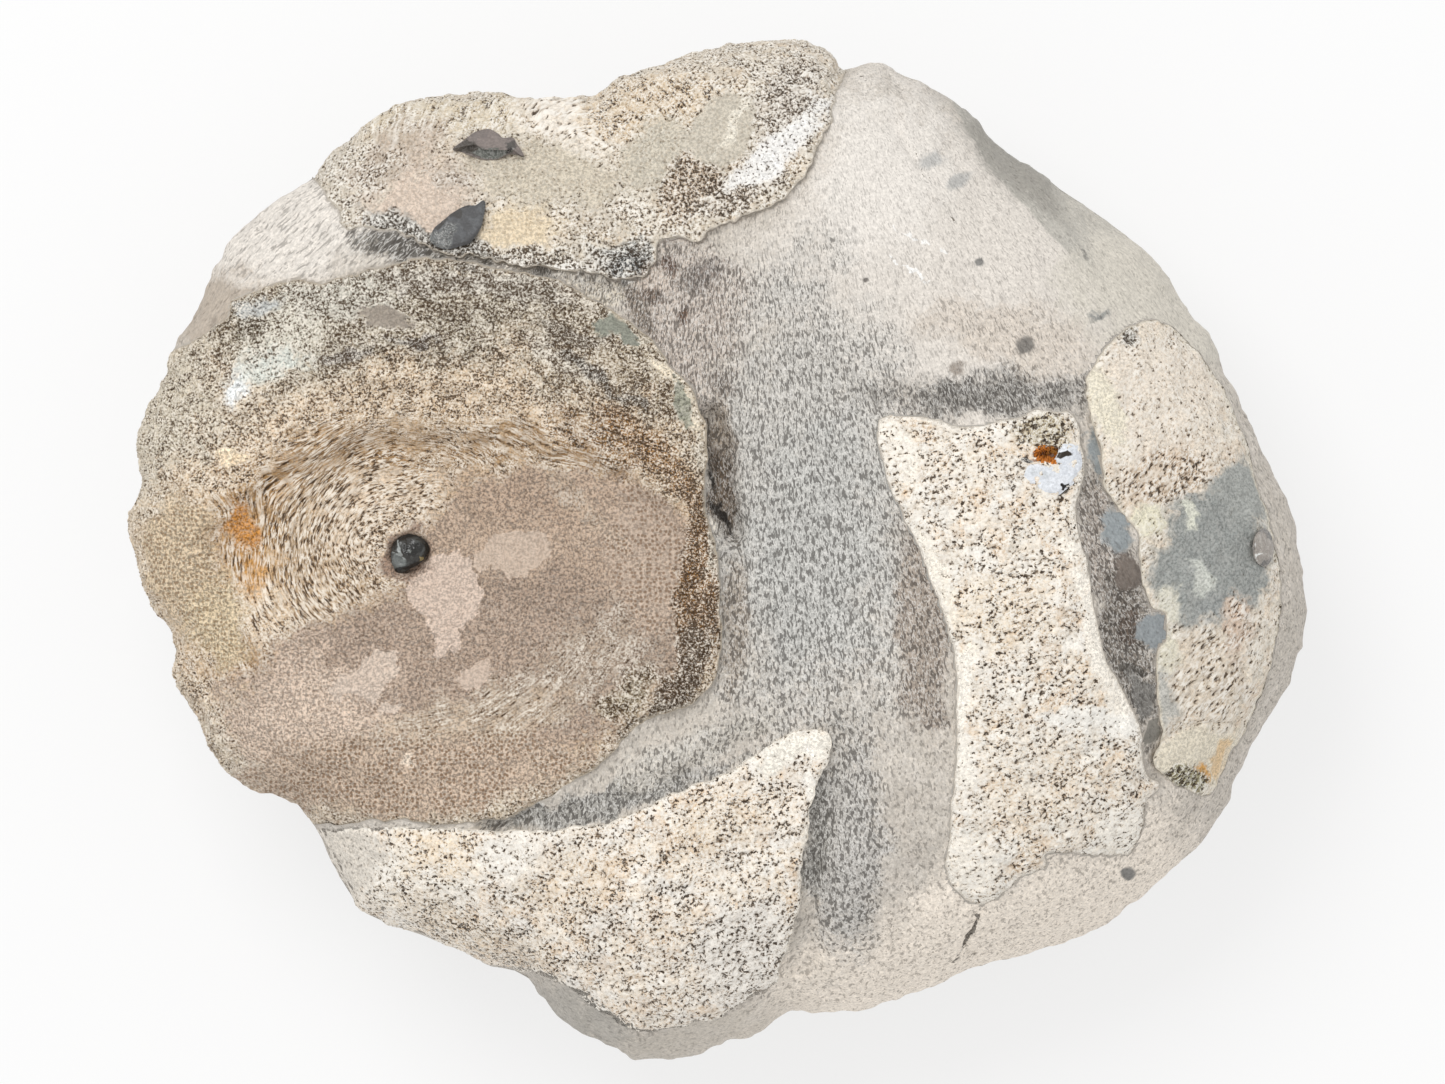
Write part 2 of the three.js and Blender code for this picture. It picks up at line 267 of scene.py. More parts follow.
def loop_distance(loop, x, y):
    tree = KDTree(len(loop))
    for index, (px, py) in enumerate(loop):
        tree.insert((px, py, 0), index)
    tree.balance()
    return np.array([tree.find((px, py, 0))[2] for px, py in zip(x.tolist(), y.tolist())])


# One patch of a surface: its middle, half its length and width, its turn in degrees, how soft its edge
# is, and its colour. Then what the surface is like there: how open, drawn-out, pin-holed and glossy it
# is, and how far it stands up. A ring has a hole. Uneven is how far a crisp edge strays, in mm.
Patch = namedtuple("Patch", "x y long wide turn soft colour open drawn pins gloss rise strength hole uneven",
                   defaults=(None, None, None, None, None, 0.0, 1.0, -1.0, 0.3))


STRAIGHT = 0.1  # a patch less uneven than this isn't warped
EDGE_WIDTH = 0.7  # half the width of a patch's edge, as a share of how soft it is


def stray(x, y):
    """Uneven values of about -1 to 1 that break up the edges of patches."""
    sizes = ((5.0, 0.5, 31), (2.2, 0.35, 32), (1.0, 0.3, 33), (0.45, 0.25, 34))
    return sum(share * mottle(x, y, size, seed) for size, share, seed in sizes)


def breakup(patch):
    """How far the edge of a patch strays, as a share of its half size: soft patches the most."""
    return 0.65 * patch.soft + patch.uneven / min(patch.long, patch.wide)


def patch_share(patch, x, y):
    """How much of a patch there is at each point, as the patch node reckons it."""
    turn = math.radians(patch.turn)
    along = (x - patch.x) * math.cos(turn) + (y - patch.y) * math.sin(turn)
    beside = (y - patch.y) * math.cos(turn) - (x - patch.x) * math.sin(turn)
    away = np.hypot(along / patch.long, beside / patch.wide) + stray(x, y) * breakup(patch)
    soft = EDGE_WIDTH * patch.soft
    inside = 1 - ramp(away, 1 - soft, 1 + soft)
    return inside * ramp(away, patch.hole - soft, patch.hole + soft) * patch.strength


def risen(z, x, y, patches):
    """The surface with each patch that stands proud raised, and each that is sunk lowered."""
    for patch in patches:
        if patch.rise:
            z = z + patch.rise * patch_share(patch, x, y)
    return z


def surface_fields(points, flow, base, patches, rim):
    """What a piece's material and relief read at each point: its place, grain direction and texture."""
    x, y, z = points.T
    upper_side = ramp(z + LEAN_X * x - LEAN_Y * y + FADE_STRAY * stray(x, y), *FADE)
    warp_x = 0.8 * mottle(x, y, 3.0, 1) + 0.4 * mottle(x, y, 1.1, 2) + 0.2 * mottle(x, y, 0.5, 7)
    warp_y = 0.8 * mottle(x, y, 3.0, 3) + 0.4 * mottle(x, y, 1.1, 4) + 0.2 * mottle(x, y, 0.5, 8)
    texture = dict(base)
    for patch in patches:
        bend = 1.0 if patch.uneven >= STRAIGHT else 0.0
        share = patch_share(patch, x + bend * warp_x, y + bend * warp_y) * upper_side
        for kind in texture:
            value = getattr(patch, kind)
            if value is not None:
                texture[kind] = texture[kind] + (value - texture[kind]) * share
    texture["drawn"] = texture["drawn"] * ramp(z, WIDEST - 1, WIDEST + 5)
    fields = {kind: texture[kind] * np.ones(len(points)) for kind in texture}
    fields["rest"] = points
    fields["stray"] = stray(x + warp_x, y + warp_y)
    fields["place"] = np.column_stack([x + warp_x, y + warp_y, z])
    fields["flow"] = np.column_stack(flow(x, y, z))
    fields["rim"] = rim
    return fields


def fields_for(flow, base, patches):
    """The surface fields of one piece, still to be given its points and their distance from its rim."""
    return lambda points, rim: surface_fields(points, flow, base, patches, rim)


def worn_edge(rim, depth, reach):
    """How far a piece's top dips at its rim."""
    return depth * np.exp(-((rim / reach) ** 2))


def mesh_object(name, points, faces, fields):
    """A mesh object from points in mm, with a point attribute for each field."""
    mesh = bpy.data.meshes.new(name)
    mesh.from_pydata((points * MM).tolist(), [], faces)
    for label, values in fields.items():
        vector = values.ndim == 2
        slot = mesh.attributes.new(label, "FLOAT_VECTOR" if vector else "FLOAT", "POINT")
        slot.data.foreach_set("vector" if vector else "value", values.astype(np.float32).ravel())
    made = bpy.data.objects.new(name, mesh)
    scene.collection.objects.link(made)
    return made


def grid_faces(rows, columns):
    index = np.arange(rows * columns).reshape(rows, columns)
    return np.stack([index[:-1, :-1], index[1:, :-1], index[1:, 1:], index[:-1, 1:]], -1).reshape(-1, 4)


def grid_border(rows, columns):
    """The grid's outer points, anticlockwise seen from above."""
    index = np.arange(rows * columns).reshape(rows, columns)
    return np.concatenate([index[:-1, 0], index[-1, :-1], index[:0:-1, -1], index[0, :0:-1]])


def prism(name, loop, floor, fields_of):
    """The upright space of an outline, from an uneven floor to above the cobble.

    A loop that runs clockwise makes a space, and so a piece, that is inside out.
    """
    count = len(loop)
    x, y = loop.T
    waves = sum(height * mottle(x, y, size, seed) for height, size, seed in FLOOR_WAVES)
    levels = (floor + waves, np.full(count, SKY))
    points = np.concatenate([np.column_stack([loop, level]) for level in levels])
    near = np.arange(count)
    far = np.roll(near, -1)
    faces = np.stack([near, far, far + count, near + count], -1).tolist()
    faces += [near[::-1].tolist(), (near + count).tolist()]
    return mesh_object(name, points, faces, fields_of(points, np.zeros(2 * count)))


def worn_block(name, loop, lift, spacing, floor, face, fields_of):
    """A closed block with the worn surface round an outline for its top, still to be cut to the outline."""
    coarse = np.linspace(-1, 1, 301)
    across, up = np.meshgrid(coarse, coarse, indexing="ij")
    x, y, _ = worn_top(across, up, lift)
    margin = 1.0
    near = (x > loop[:, 0].min() - margin) & (x < loop[:, 0].max() + margin)
    near &= (y > loop[:, 1].min() - margin) & (y < loop[:, 1].max() + margin)
    step = spacing / profile_arc[-1]
    spans = [side[near] for side in (across, up)]
    rows, columns = [np.linspace(span.min(), span.max(), int(np.ptp(span) / step) + 2) for span in spans]
    across, up = np.meshgrid(rows, columns, indexing="ij")
    x, y, z = (side.ravel() for side in worn_top(across, up, lift))
    rim = loop_distance(loop, x, y)
    top = np.column_stack([x, y, face(x, y, z, rim)])
    edge = grid_border(len(rows), len(columns))
    low = top[edge].copy()
    low[:, 2] = min(floor, top[:, 2].min()) - 1
    skirt = np.arange(len(edge)) + len(top)
    faces = grid_faces(len(rows), len(columns)).tolist()
    faces += np.stack([edge, skirt, np.roll(skirt, -1), np.roll(edge, -1)], -1).tolist()
    faces.append(skirt[::-1].tolist())
    points = np.concatenate([top, low])
    return mesh_object(name, points, faces, fields_of(points, np.concatenate([rim, np.zeros(len(edge))])))


def put(tree, kind, *inputs, **settings):
    """Adds a node with its settings, gives or links its inputs in order, and returns its first output."""
    node = tree.nodes.new(kind)
    for setting, value in settings.items():
        setattr(node, setting, value)
    for socket, value in zip(node.inputs, inputs):
        connect(tree, value, socket)
    return node.outputs[0]


def connect(tree, value, socket):
    if isinstance(value, bpy.types.NodeSocket):
        tree.links.new(value, socket)
    elif value is not None:
        socket.default_value = value


def maths(tree, operation, *values):
    return put(tree, "ShaderNodeMath", *values, operation=operation)


def between(tree, value, start, end, low=0.0, high=1.0):
    """low where a value is at start, high where it is at end, and smooth between."""
    return put(tree, "ShaderNodeMapRange", value, start, end, low, high, interpolation_type="SMOOTHSTEP")


def noise(tree, place, scale, detail, output="Fac", roughness=0.5):
    node = put(tree, "ShaderNodeTexNoise", place).node
    connect(tree, scale, node.inputs["Scale"])
    node.inputs["Detail"].default_value = detail
    node.inputs["Roughness"].default_value = roughness
    return node.outputs[output]


def mixed(tree, share, under, over, mode="MIX"):
    """Two colours mixed by a share."""
    node = put(tree, "ShaderNodeMix", share, data_type="RGBA", blend_type=mode).node
    connect(tree, under, node.inputs[6])
    connect(tree, over, node.inputs[7])
    return node.outputs[2]


def mixed_value(tree, share, under, over):
    return put(tree, "ShaderNodeMix", share, None, under, over, data_type="FLOAT")


def paint(red, green, blue):
    """A colour from how it looks in the studio light, 0 to 255 each."""
    linear = [((c / 255 + 0.055) / 1.055) ** 2.4 if c > 10 else c / 255 / 12.92 for c in (red, green, blue)]
    return (*[c / 1.08 for c in linear], 1.0)


def node_group(name, kind, given, returned):
    """A new group with named sockets: its tree, its inputs and its outputs by name."""
    tree = bpy.data.node_groups.new(name, kind)
    for label, socket, default in given:
        made = tree.interface.new_socket(label, in_out="INPUT", socket_type="NodeSocket" + socket)
        if default is not None:
            made.default_value = default
    for label, socket in returned:
        tree.interface.new_socket(label, in_out="OUTPUT", socket_type="NodeSocket" + socket)
    start = tree.nodes.new("NodeGroupInput")
    end = tree.nodes.new("NodeGroupOutput")
    return tree, start.outputs, end.inputs


def use_group(tree, group, **inputs):
    """Places a group in a material, with its inputs given by name, and returns its outputs."""
    node = tree.nodes.new("ShaderNodeGroup")
    node.node_tree = group
    for label, value in inputs.items():
        connect(tree, value, node.inputs[label.replace("_", " ").title()])
    return node.outputs


def bone_grain(tree, rest, flow, drawn, detail, fineness):
    """Three grains of the bone, even or drawn out along its flow: for pores, for walls and for tone."""
    even = noise(tree, rest, fineness, detail, "Color", 0.75)
    along = noise(tree, flow, 1.0, detail, "Color", 0.75)
    return put(tree, "ShaderNodeSeparateXYZ", mixed(tree, drawn, even, along)).node.outputs


def pores_and_walls(tree, grain, openness):
    """Shares of open pores and of the pale walls between them, and the level that the pores are cut from."""
    level = maths(tree, "ADD", grain["X"], between(tree, openness, 0.0, 1.5, 0.1, -0.06))
    pores = maths(tree, "MULTIPLY", between(tree, level, 0.47, 0.40), between(tree, openness, 0.03, 0.3))
    ridge = maths(tree, "ABSOLUTE", maths(tree, "SUBTRACT", grain["Y"], 0.5))
    walls = maths(tree, "MULTIPLY", between(tree, ridge, 0.055, 0.015), between(tree, openness, 0.1, 0.9))
    return pores, walls, level


def relief_tree():
    """Geometry nodes that raise the swells, lumps and grain of a worn surface and sink its pores."""
    given = [
        ("Geometry", "Geometry", None),
        ("Swell Size", "Float", 7.0),
        ("Swell Height", "Float", 0.35),
        ("Lump Size", "Float", 1.6),
        ("Lump Height", "Float", 0.18),
        ("Pore Depth", "Float", 0.22),
        ("Fineness", "Float", 3.5),
        ("Finish", "Material", None),
    ]
    tree, size, out = node_group("worn_relief", "GeometryNodeTree", given, [("Geometry", "Geometry")])

    def field(label, kind):
        node = tree.nodes.new("GeometryNodeInputNamedAttribute")
        node.data_type = kind
        node.inputs["Name"].default_value = label
        return node.outputs["Attribute"]

    rest = field("rest", "FLOAT_VECTOR")

    def waves(label):
        place = put(tree, "ShaderNodeVectorMath", rest, size[label + " Size"], operation="DIVIDE")
        level = maths(tree, "SUBTRACT", noise(tree, place, 1.0, 1.0), 0.5)
        return maths(tree, "MULTIPLY", level, maths(tree, "MULTIPLY", size[label + " Height"], 4.0))

    grain = bone_grain(tree, rest, field("flow", "FLOAT_VECTOR"), field("drawn", "FLOAT"), 0.5,
                       size["Fineness"])
    pores, walls, _ = pores_and_walls(tree, grain, field("open", "FLOAT"))
    grain_height = maths(tree, "SUBTRACT", maths(tree, "MULTIPLY", walls, 0.4), pores)
    height = maths(tree, "ADD", waves("Swell"), waves("Lump"))
    height = maths(tree, "ADD", height, maths(tree, "MULTIPLY", grain_height, size["Pore Depth"]))
    level = put(tree, "ShaderNodeSeparateXYZ", rest).node.outputs["Z"]
    height = maths(tree, "MULTIPLY", height, between(tree, level, 0.2, 3.0))
    normal = tree.nodes.new("GeometryNodeInputNormal").outputs["Normal"]
    offset = put(tree, "ShaderNodeVectorMath", normal, operation="SCALE").node
    connect(tree, maths(tree, "MULTIPLY", height, MM), offset.inputs["Scale"])
    moved = tree.nodes.new("GeometryNodeSetPosition")
    connect(tree, size["Geometry"], moved.inputs["Geometry"])
    connect(tree, offset.outputs["Vector"], moved.inputs["Offset"])
    real = put(tree, "GeometryNodeRealizeInstances", moved.outputs["Geometry"])
    finish = tree.nodes.new("GeometryNodeSetMaterial")
    connect(tree, real, finish.inputs["Geometry"])
    connect(tree, size["Finish"], finish.inputs["Material"])
    connect(tree, finish.outputs["Geometry"], out["Geometry"])
    return tree


WORN_RELIEF = relief_tree()


def add_nodes(block, tree, **sizes):
    """Runs a geometry node tree on a piece, with its sizes given by name."""
    modifier = block.modifiers.new(tree.name, "NODES")
    modifier.node_group = tree
    for item in tree.interface.items_tree:
        label = item.name.lower().replace(" ", "_")
        if item.in_out == "INPUT" and label in sizes:
            modifier[item.identifier] = sizes[label]


def cut(block, tool, operation):
    modifier = block.modifiers.new(operation.lower(), "BOOLEAN")
    modifier.operation = operation
    modifier.solver = "MANIFOLD"
    modifier.object = tool
    tool.hide_render = True


def finished(block, name, finish):
    """The block with its modifiers worked in, as a plain mesh with one finish."""
    graph = bpy.context.evaluated_depsgraph_get()
    mesh = bpy.data.meshes.new_from_object(block.evaluated_get(graph))
    mesh.name = name
    mesh.materials.clear()
    mesh.materials.append(finish)
    mesh.polygons.foreach_set("material_index", np.zeros(len(mesh.polygons), np.int32))
    mesh.polygons.foreach_set("use_smooth", np.ones(len(mesh.polygons), bool))
    mesh.set_sharp_from_angle(angle=1.1)
    made = bpy.data.objects.new(name, mesh)
    scene.collection.objects.link(made)
    bpy.data.objects.remove(block)
    return made


def worn_piece(name, node, slot, loop, floor, lift, spacing, face, fields_of, finish, without=(), **relief):
    """Makes a piece with a worn top and upright sides, and returns the space it fills."""
    space = prism(name + "_space", loop, floor, fields_of)
    block = worn_block(name + "_block", loop, lift, spacing, floor, face, fields_of)
    add_nodes(block, WORN_RELIEF, finish=finish, **relief)
    cut(block, space, "INTERSECT")
    for other in without:
        cut(block, other, "DIFFERENCE")
    piece = finished(block, name, finish)
    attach(piece, "root")
    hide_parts(node)
    return space


def patch_group():
    """How much of an oval patch there is at a place, with an uneven edge."""
    given = [
        ("Place", "Vector", None),
        ("Centre", "Vector", None),
        ("Turn", "Vector", None),
        ("Half Size", "Vector", (1, 1, 1)),
        ("Softness", "Float", 0.2),
        ("Strength", "Float", 1.0),
        ("Stray", "Float", 0.0),
        ("Breakup", "Float", 0.3),
    ]
    tree, size, out = node_group("patch", "ShaderNodeTree", given, [("Share", "Float"), ("Away", "Float")])
    local = put(tree, "ShaderNodeMapping", size["Place"], size["Centre"], size["Turn"], size["Half Size"],
                vector_type="TEXTURE")
    away = put(tree, "ShaderNodeVectorMath", local, operation="LENGTH").node.outputs["Value"]
    away = maths(tree, "MULTIPLY_ADD", size["Stray"], size["Breakup"], away)
    soft = maths(tree, "MULTIPLY", size["Softness"], EDGE_WIDTH)
    inner, outer = maths(tree, "SUBTRACT", 1.0, soft), maths(tree, "ADD", 1.0, soft)
    connect(tree, between(tree, away, outer, inner, 0.0, size["Strength"]), out["Share"])
    connect(tree, away, out["Away"])
    return tree


PATCH = patch_group()


def attribute(tree, name, output="Fac"):
    node = tree.nodes.new("ShaderNodeAttribute")
    node.attribute_name = name
    return node.outputs[output]


def new_finish(name, shine):
    """A material with nothing set on its shader but how much it shines."""
    finish = bpy.data.materials.new(name)
    finish.use_nodes = True
    finish.node_tree.nodes["Principled BSDF"].inputs["Specular IOR Level"].default_value = shine
    return finish


def lay_on(finish, made, bump_height):
    """Gives a material the colour, the roughness and the bump that a group puts out."""
    tree = finish.node_tree
    surface = tree.nodes["Principled BSDF"]
    connect(tree, made["Colour"], surface.inputs["Base Color"])
    connect(tree, made["Roughness"], surface.inputs["Roughness"])
    bump = tree.nodes.new("ShaderNodeBump")
    bump.inputs["Strength"].default_value = 0.6
    bump.inputs["Distance"].default_value = bump_height
    connect(tree, made["Height"], bump.inputs["Height"])
    connect(tree, bump.outputs["Normal"], surface.inputs["Normal"])


def tinted(tree, base, mottles, patches):
    """The colour of a surface: its base, then its mottling, then each patch laid over it in turn."""
    place = attribute(tree, "place", "Vector")
    speckle = maths(tree, "SUBTRACT", noise(tree, place, 2.4, 1.0), 0.5)
    edge = maths(tree, "MULTIPLY_ADD", speckle, 1.6, attribute(tree, "stray"))
    colour = paint(*base)
    for seed, (tint, size, strength) in enumerate(mottles):
        shifted = put(tree, "ShaderNodeVectorMath", place, (seed * 37.0, 11.0, 5.0), operation="ADD")
        cloud = between(tree, noise(tree, shifted, 1 / size, 3.0, roughness=0.65), 0.47, 0.62, 0.0, strength)
        colour = mixed(tree, cloud, colour, paint(*tint))
    plain = colour
    rest = attribute(tree, "rest", "Vector")
    for patch in patches:
        if patch.colour is not None:
            share = use_group(
                tree, PATCH, place=place if patch.uneven >= STRAIGHT else rest, centre=(patch.x, patch.y, 0),
                turn=(0, 0, math.radians(patch.turn)), half_size=(patch.long, patch.wide, 1e6),
                softness=patch.soft, strength=patch.strength, stray=edge, breakup=breakup(patch),
            )
            cover = share["Share"]
            if patch.hole > 0:
                soft = EDGE_WIDTH * patch.soft
                outside_hole = between(tree, share["Away"], patch.hole - soft, patch.hole + soft)
                cover = maths(tree, "MULTIPLY", cover, outside_hole)
            colour = mixed(tree, cover, colour, paint(*patch.colour))
    above_line = (LEAN_X, -LEAN_Y, 1.0)
    level = put(tree, "ShaderNodeVectorMath", rest, above_line, operation="DOT_PRODUCT")
    level = maths(tree, "MULTIPLY_ADD", edge, FADE_STRAY, level.node.outputs["Value"])
    return mixed(tree, between(tree, level, *FADE), plain, colour)


def sponge_group():
    """Fossil bone: dark pores, brown hollows and pale walls in a tint, and pin holes in smooth skin."""
    given = [
        ("Rest", "Vector", None),
        ("Flow", "Vector", None),
        ("Drawn", "Float", 0.0),
        ("Open", "Float", 1.0),
        ("Pins", "Float", 0.0),
        ("Gloss", "Float", 0.0),
        ("Fineness", "Float", 3.5),
        ("Speckle", "Float", 0.5),
        ("Tint", "Color", (0.6, 0.5, 0.4, 1)),
        ("Pore Colour", "Color", paint(50, 43, 36)),
        ("Wall Colour", "Color", paint(252, 248, 240)),
    ]
    returned = [("Colour", "Color"), ("Height", "Float"), ("Roughness", "Float")]
    tree, size, out = node_group("fossil_sponge", "ShaderNodeTree", given, returned)
    grain = bone_grain(tree, size["Rest"], size["Flow"], size["Drawn"], 1.0, size["Fineness"])
    fine = noise(tree, size["Rest"], 3.6, 2.0, roughness=0.75)
    blotch = noise(tree, size["Rest"], 0.6, 2.0)
    coarse = maths(tree, "MULTIPLY", size["Open"], between(tree, blotch, 0.33, 0.62, 0.5, 1.35))
    pores, walls, level = pores_and_walls(tree, grain, coarse)
    spongy = between(tree, coarse, 0.05, 0.7, 0.08, 1.0)
    hollows = maths(tree, "MULTIPLY", between(tree, level, 0.53, 0.44), spongy)
    walls = maths(tree, "MAXIMUM", walls, maths(tree, "MULTIPLY", between(tree, level, 0.55, 0.63), spongy))
    dots = put(tree, "ShaderNodeTexVoronoi", size["Rest"], voronoi_dimensions="2D").node
    dots.inputs["Scale"].default_value = 2.1
    dots.inputs["Randomness"].default_value = 0.7
    holes = between(tree, dots.outputs["Distance"], 0.36, 0.2)
    pinned = maths(tree, "MULTIPLY", size["Pins"], between(tree, blotch, 0.35, 0.5))
    holes = maths(tree, "MULTIPLY", holes, pinned)
    shade = between(tree, grain["Z"], 0.3, 0.7, 0.78, 1.22)
    calm = between(tree, grain["Z"], 0.3, 0.7, 0.92, 1.07)
    calm = maths(tree, "MULTIPLY", between(tree, fine, 0.38, 0.62, 0.5, 1.55), calm)
    skin_grain = maths(tree, "MULTIPLY", between(tree, size["Open"], 0.0, 0.12, 0.35, 1.0), size["Speckle"])
    calm = mixed_value(tree, skin_grain, 1.0, calm)
    shade = mixed_value(tree, spongy, calm, shade)
    shade = put(tree, "ShaderNodeCombineXYZ", shade, shade, shade)
    ground = mixed(tree, 1.0, size["Tint"], shade, "MULTIPLY")
    brown = mixed(tree, 1.0, size["Tint"], (0.54, 0.43, 0.32, 1), "MULTIPLY")
    deep = mixed(tree, 1.0, size["Tint"], (0.38, 0.3, 0.23, 1), "MULTIPLY")
    deep = mixed(tree, 0.85, deep, size["Pore Colour"])
    cream = mixed(tree, 0.8, size["Tint"], size["Wall Colour"])
    colour = mixed(tree, maths(tree, "MULTIPLY", hollows, 0.6), ground, brown)
    colour = mixed(tree, maths(tree, "MULTIPLY", walls, 0.9), colour, cream)
    depth = between(tree, grain["Z"], 0.35, 0.55, 0.6, 1.0)
    colour = mixed(tree, maths(tree, "MULTIPLY", pores, depth), colour, deep)
    colour = mixed(tree, maths(tree, "MULTIPLY", holes, 0.85), colour, brown)
    connect(tree, colour, out["Colour"])
    height = maths(tree, "SUBTRACT", maths(tree, "MULTIPLY", walls, 0.4), maths(tree, "ADD", pores, holes))
    height = maths(tree, "ADD", height, maths(tree, "MULTIPLY", fine, 0.6))
    connect(tree, height, out["Height"])
    dull = between(tree, grain["Z"], 0.3, 0.7, 0.62, 0.85)
    connect(tree, mixed_value(tree, size["Gloss"], dull, 0.2), out["Roughness"])
    return tree


SPONGE = sponge_group()


def bone_finish(name, base, mottles, patches, rim_colour, rim_width, pore_colour, fineness=3.5,
                wall_colour=(252, 248, 240), speckle=0.5):
    """The material of one vertebra: its tint by place, its pores, and its pale worn edge."""
    finish = new_finish(name, shine=0.3)
    tree = finish.node_tree
    colour = tinted(tree, base, mottles, patches)
    edge = between(tree, attribute(tree, "rim"), rim_width, rim_width * 0.3)
    colour = mixed(tree, maths(tree, "MULTIPLY", edge, 0.6), colour, paint(*rim_colour))
    bone = use_group(
        tree, SPONGE, rest=attribute(tree, "rest", "Vector"), flow=attribute(tree, "flow", "Vector"),
        drawn=attribute(tree, "drawn"), open=attribute(tree, "open"), pins=attribute(tree, "pins"),
        gloss=attribute(tree, "gloss"), tint=colour, pore_colour=paint(*pore_colour),
        fineness=fineness, wall_colour=paint(*wall_colour), speckle=speckle,
    )
    lay_on(finish, bone, bump_height=0.15 * MM)
    return finish


ROUND_CENTRE = (-30.8, -0.2)
DISH_RADIUS = 27
DISH_DEPTH = 7
DISH_RIM = 43.2
ROUND_FLOOR = 23
ROUND_OUTLINE = [
    (-62, 3.5), (-60, -6), (-57, -14), (-53, -24), (-46, -29), (-40.5, -27.4), (-35.6, -27.1),
    (-31.7, -26.7), (-27.2, -27.1), (-21.4, -26.6), (-16.9, -24.6), (-11.2, -20.8), (-6.8, -16.7),
    (-3.0, -15.4), (0.1, -11.3), (0.2, -2.1), (-1.2, 5.2), (-0.9, 11.4), (-1.9, 14.9), (-3.5, 17.4),
    (-5.2, 19.2), (-7.4, 22.0), (-9.9, 23.6), (-12.2, 25.0), (-14.5, 26.4), (-17.9, 27.5),
    (-21.4, 28.0), (-28.0, 29.1), (-34.5, 28.0), (-39.0, 26.9), (-42.7, 26.8), (-48.2, 25.2),
    (-49.0, 23.2), (-54, 20), (-59, 20), (-61.5, 12),
]
ROUND_BASE = dict(open=0.8, drawn=0.15, pins=0.0, gloss=0.0)
ROUND_MOTTLES = [((230, 212, 186), 2.2, 0.6), ((150, 122, 88), 2.6, 0.5), ((118, 110, 96), 1.6, 0.35)]
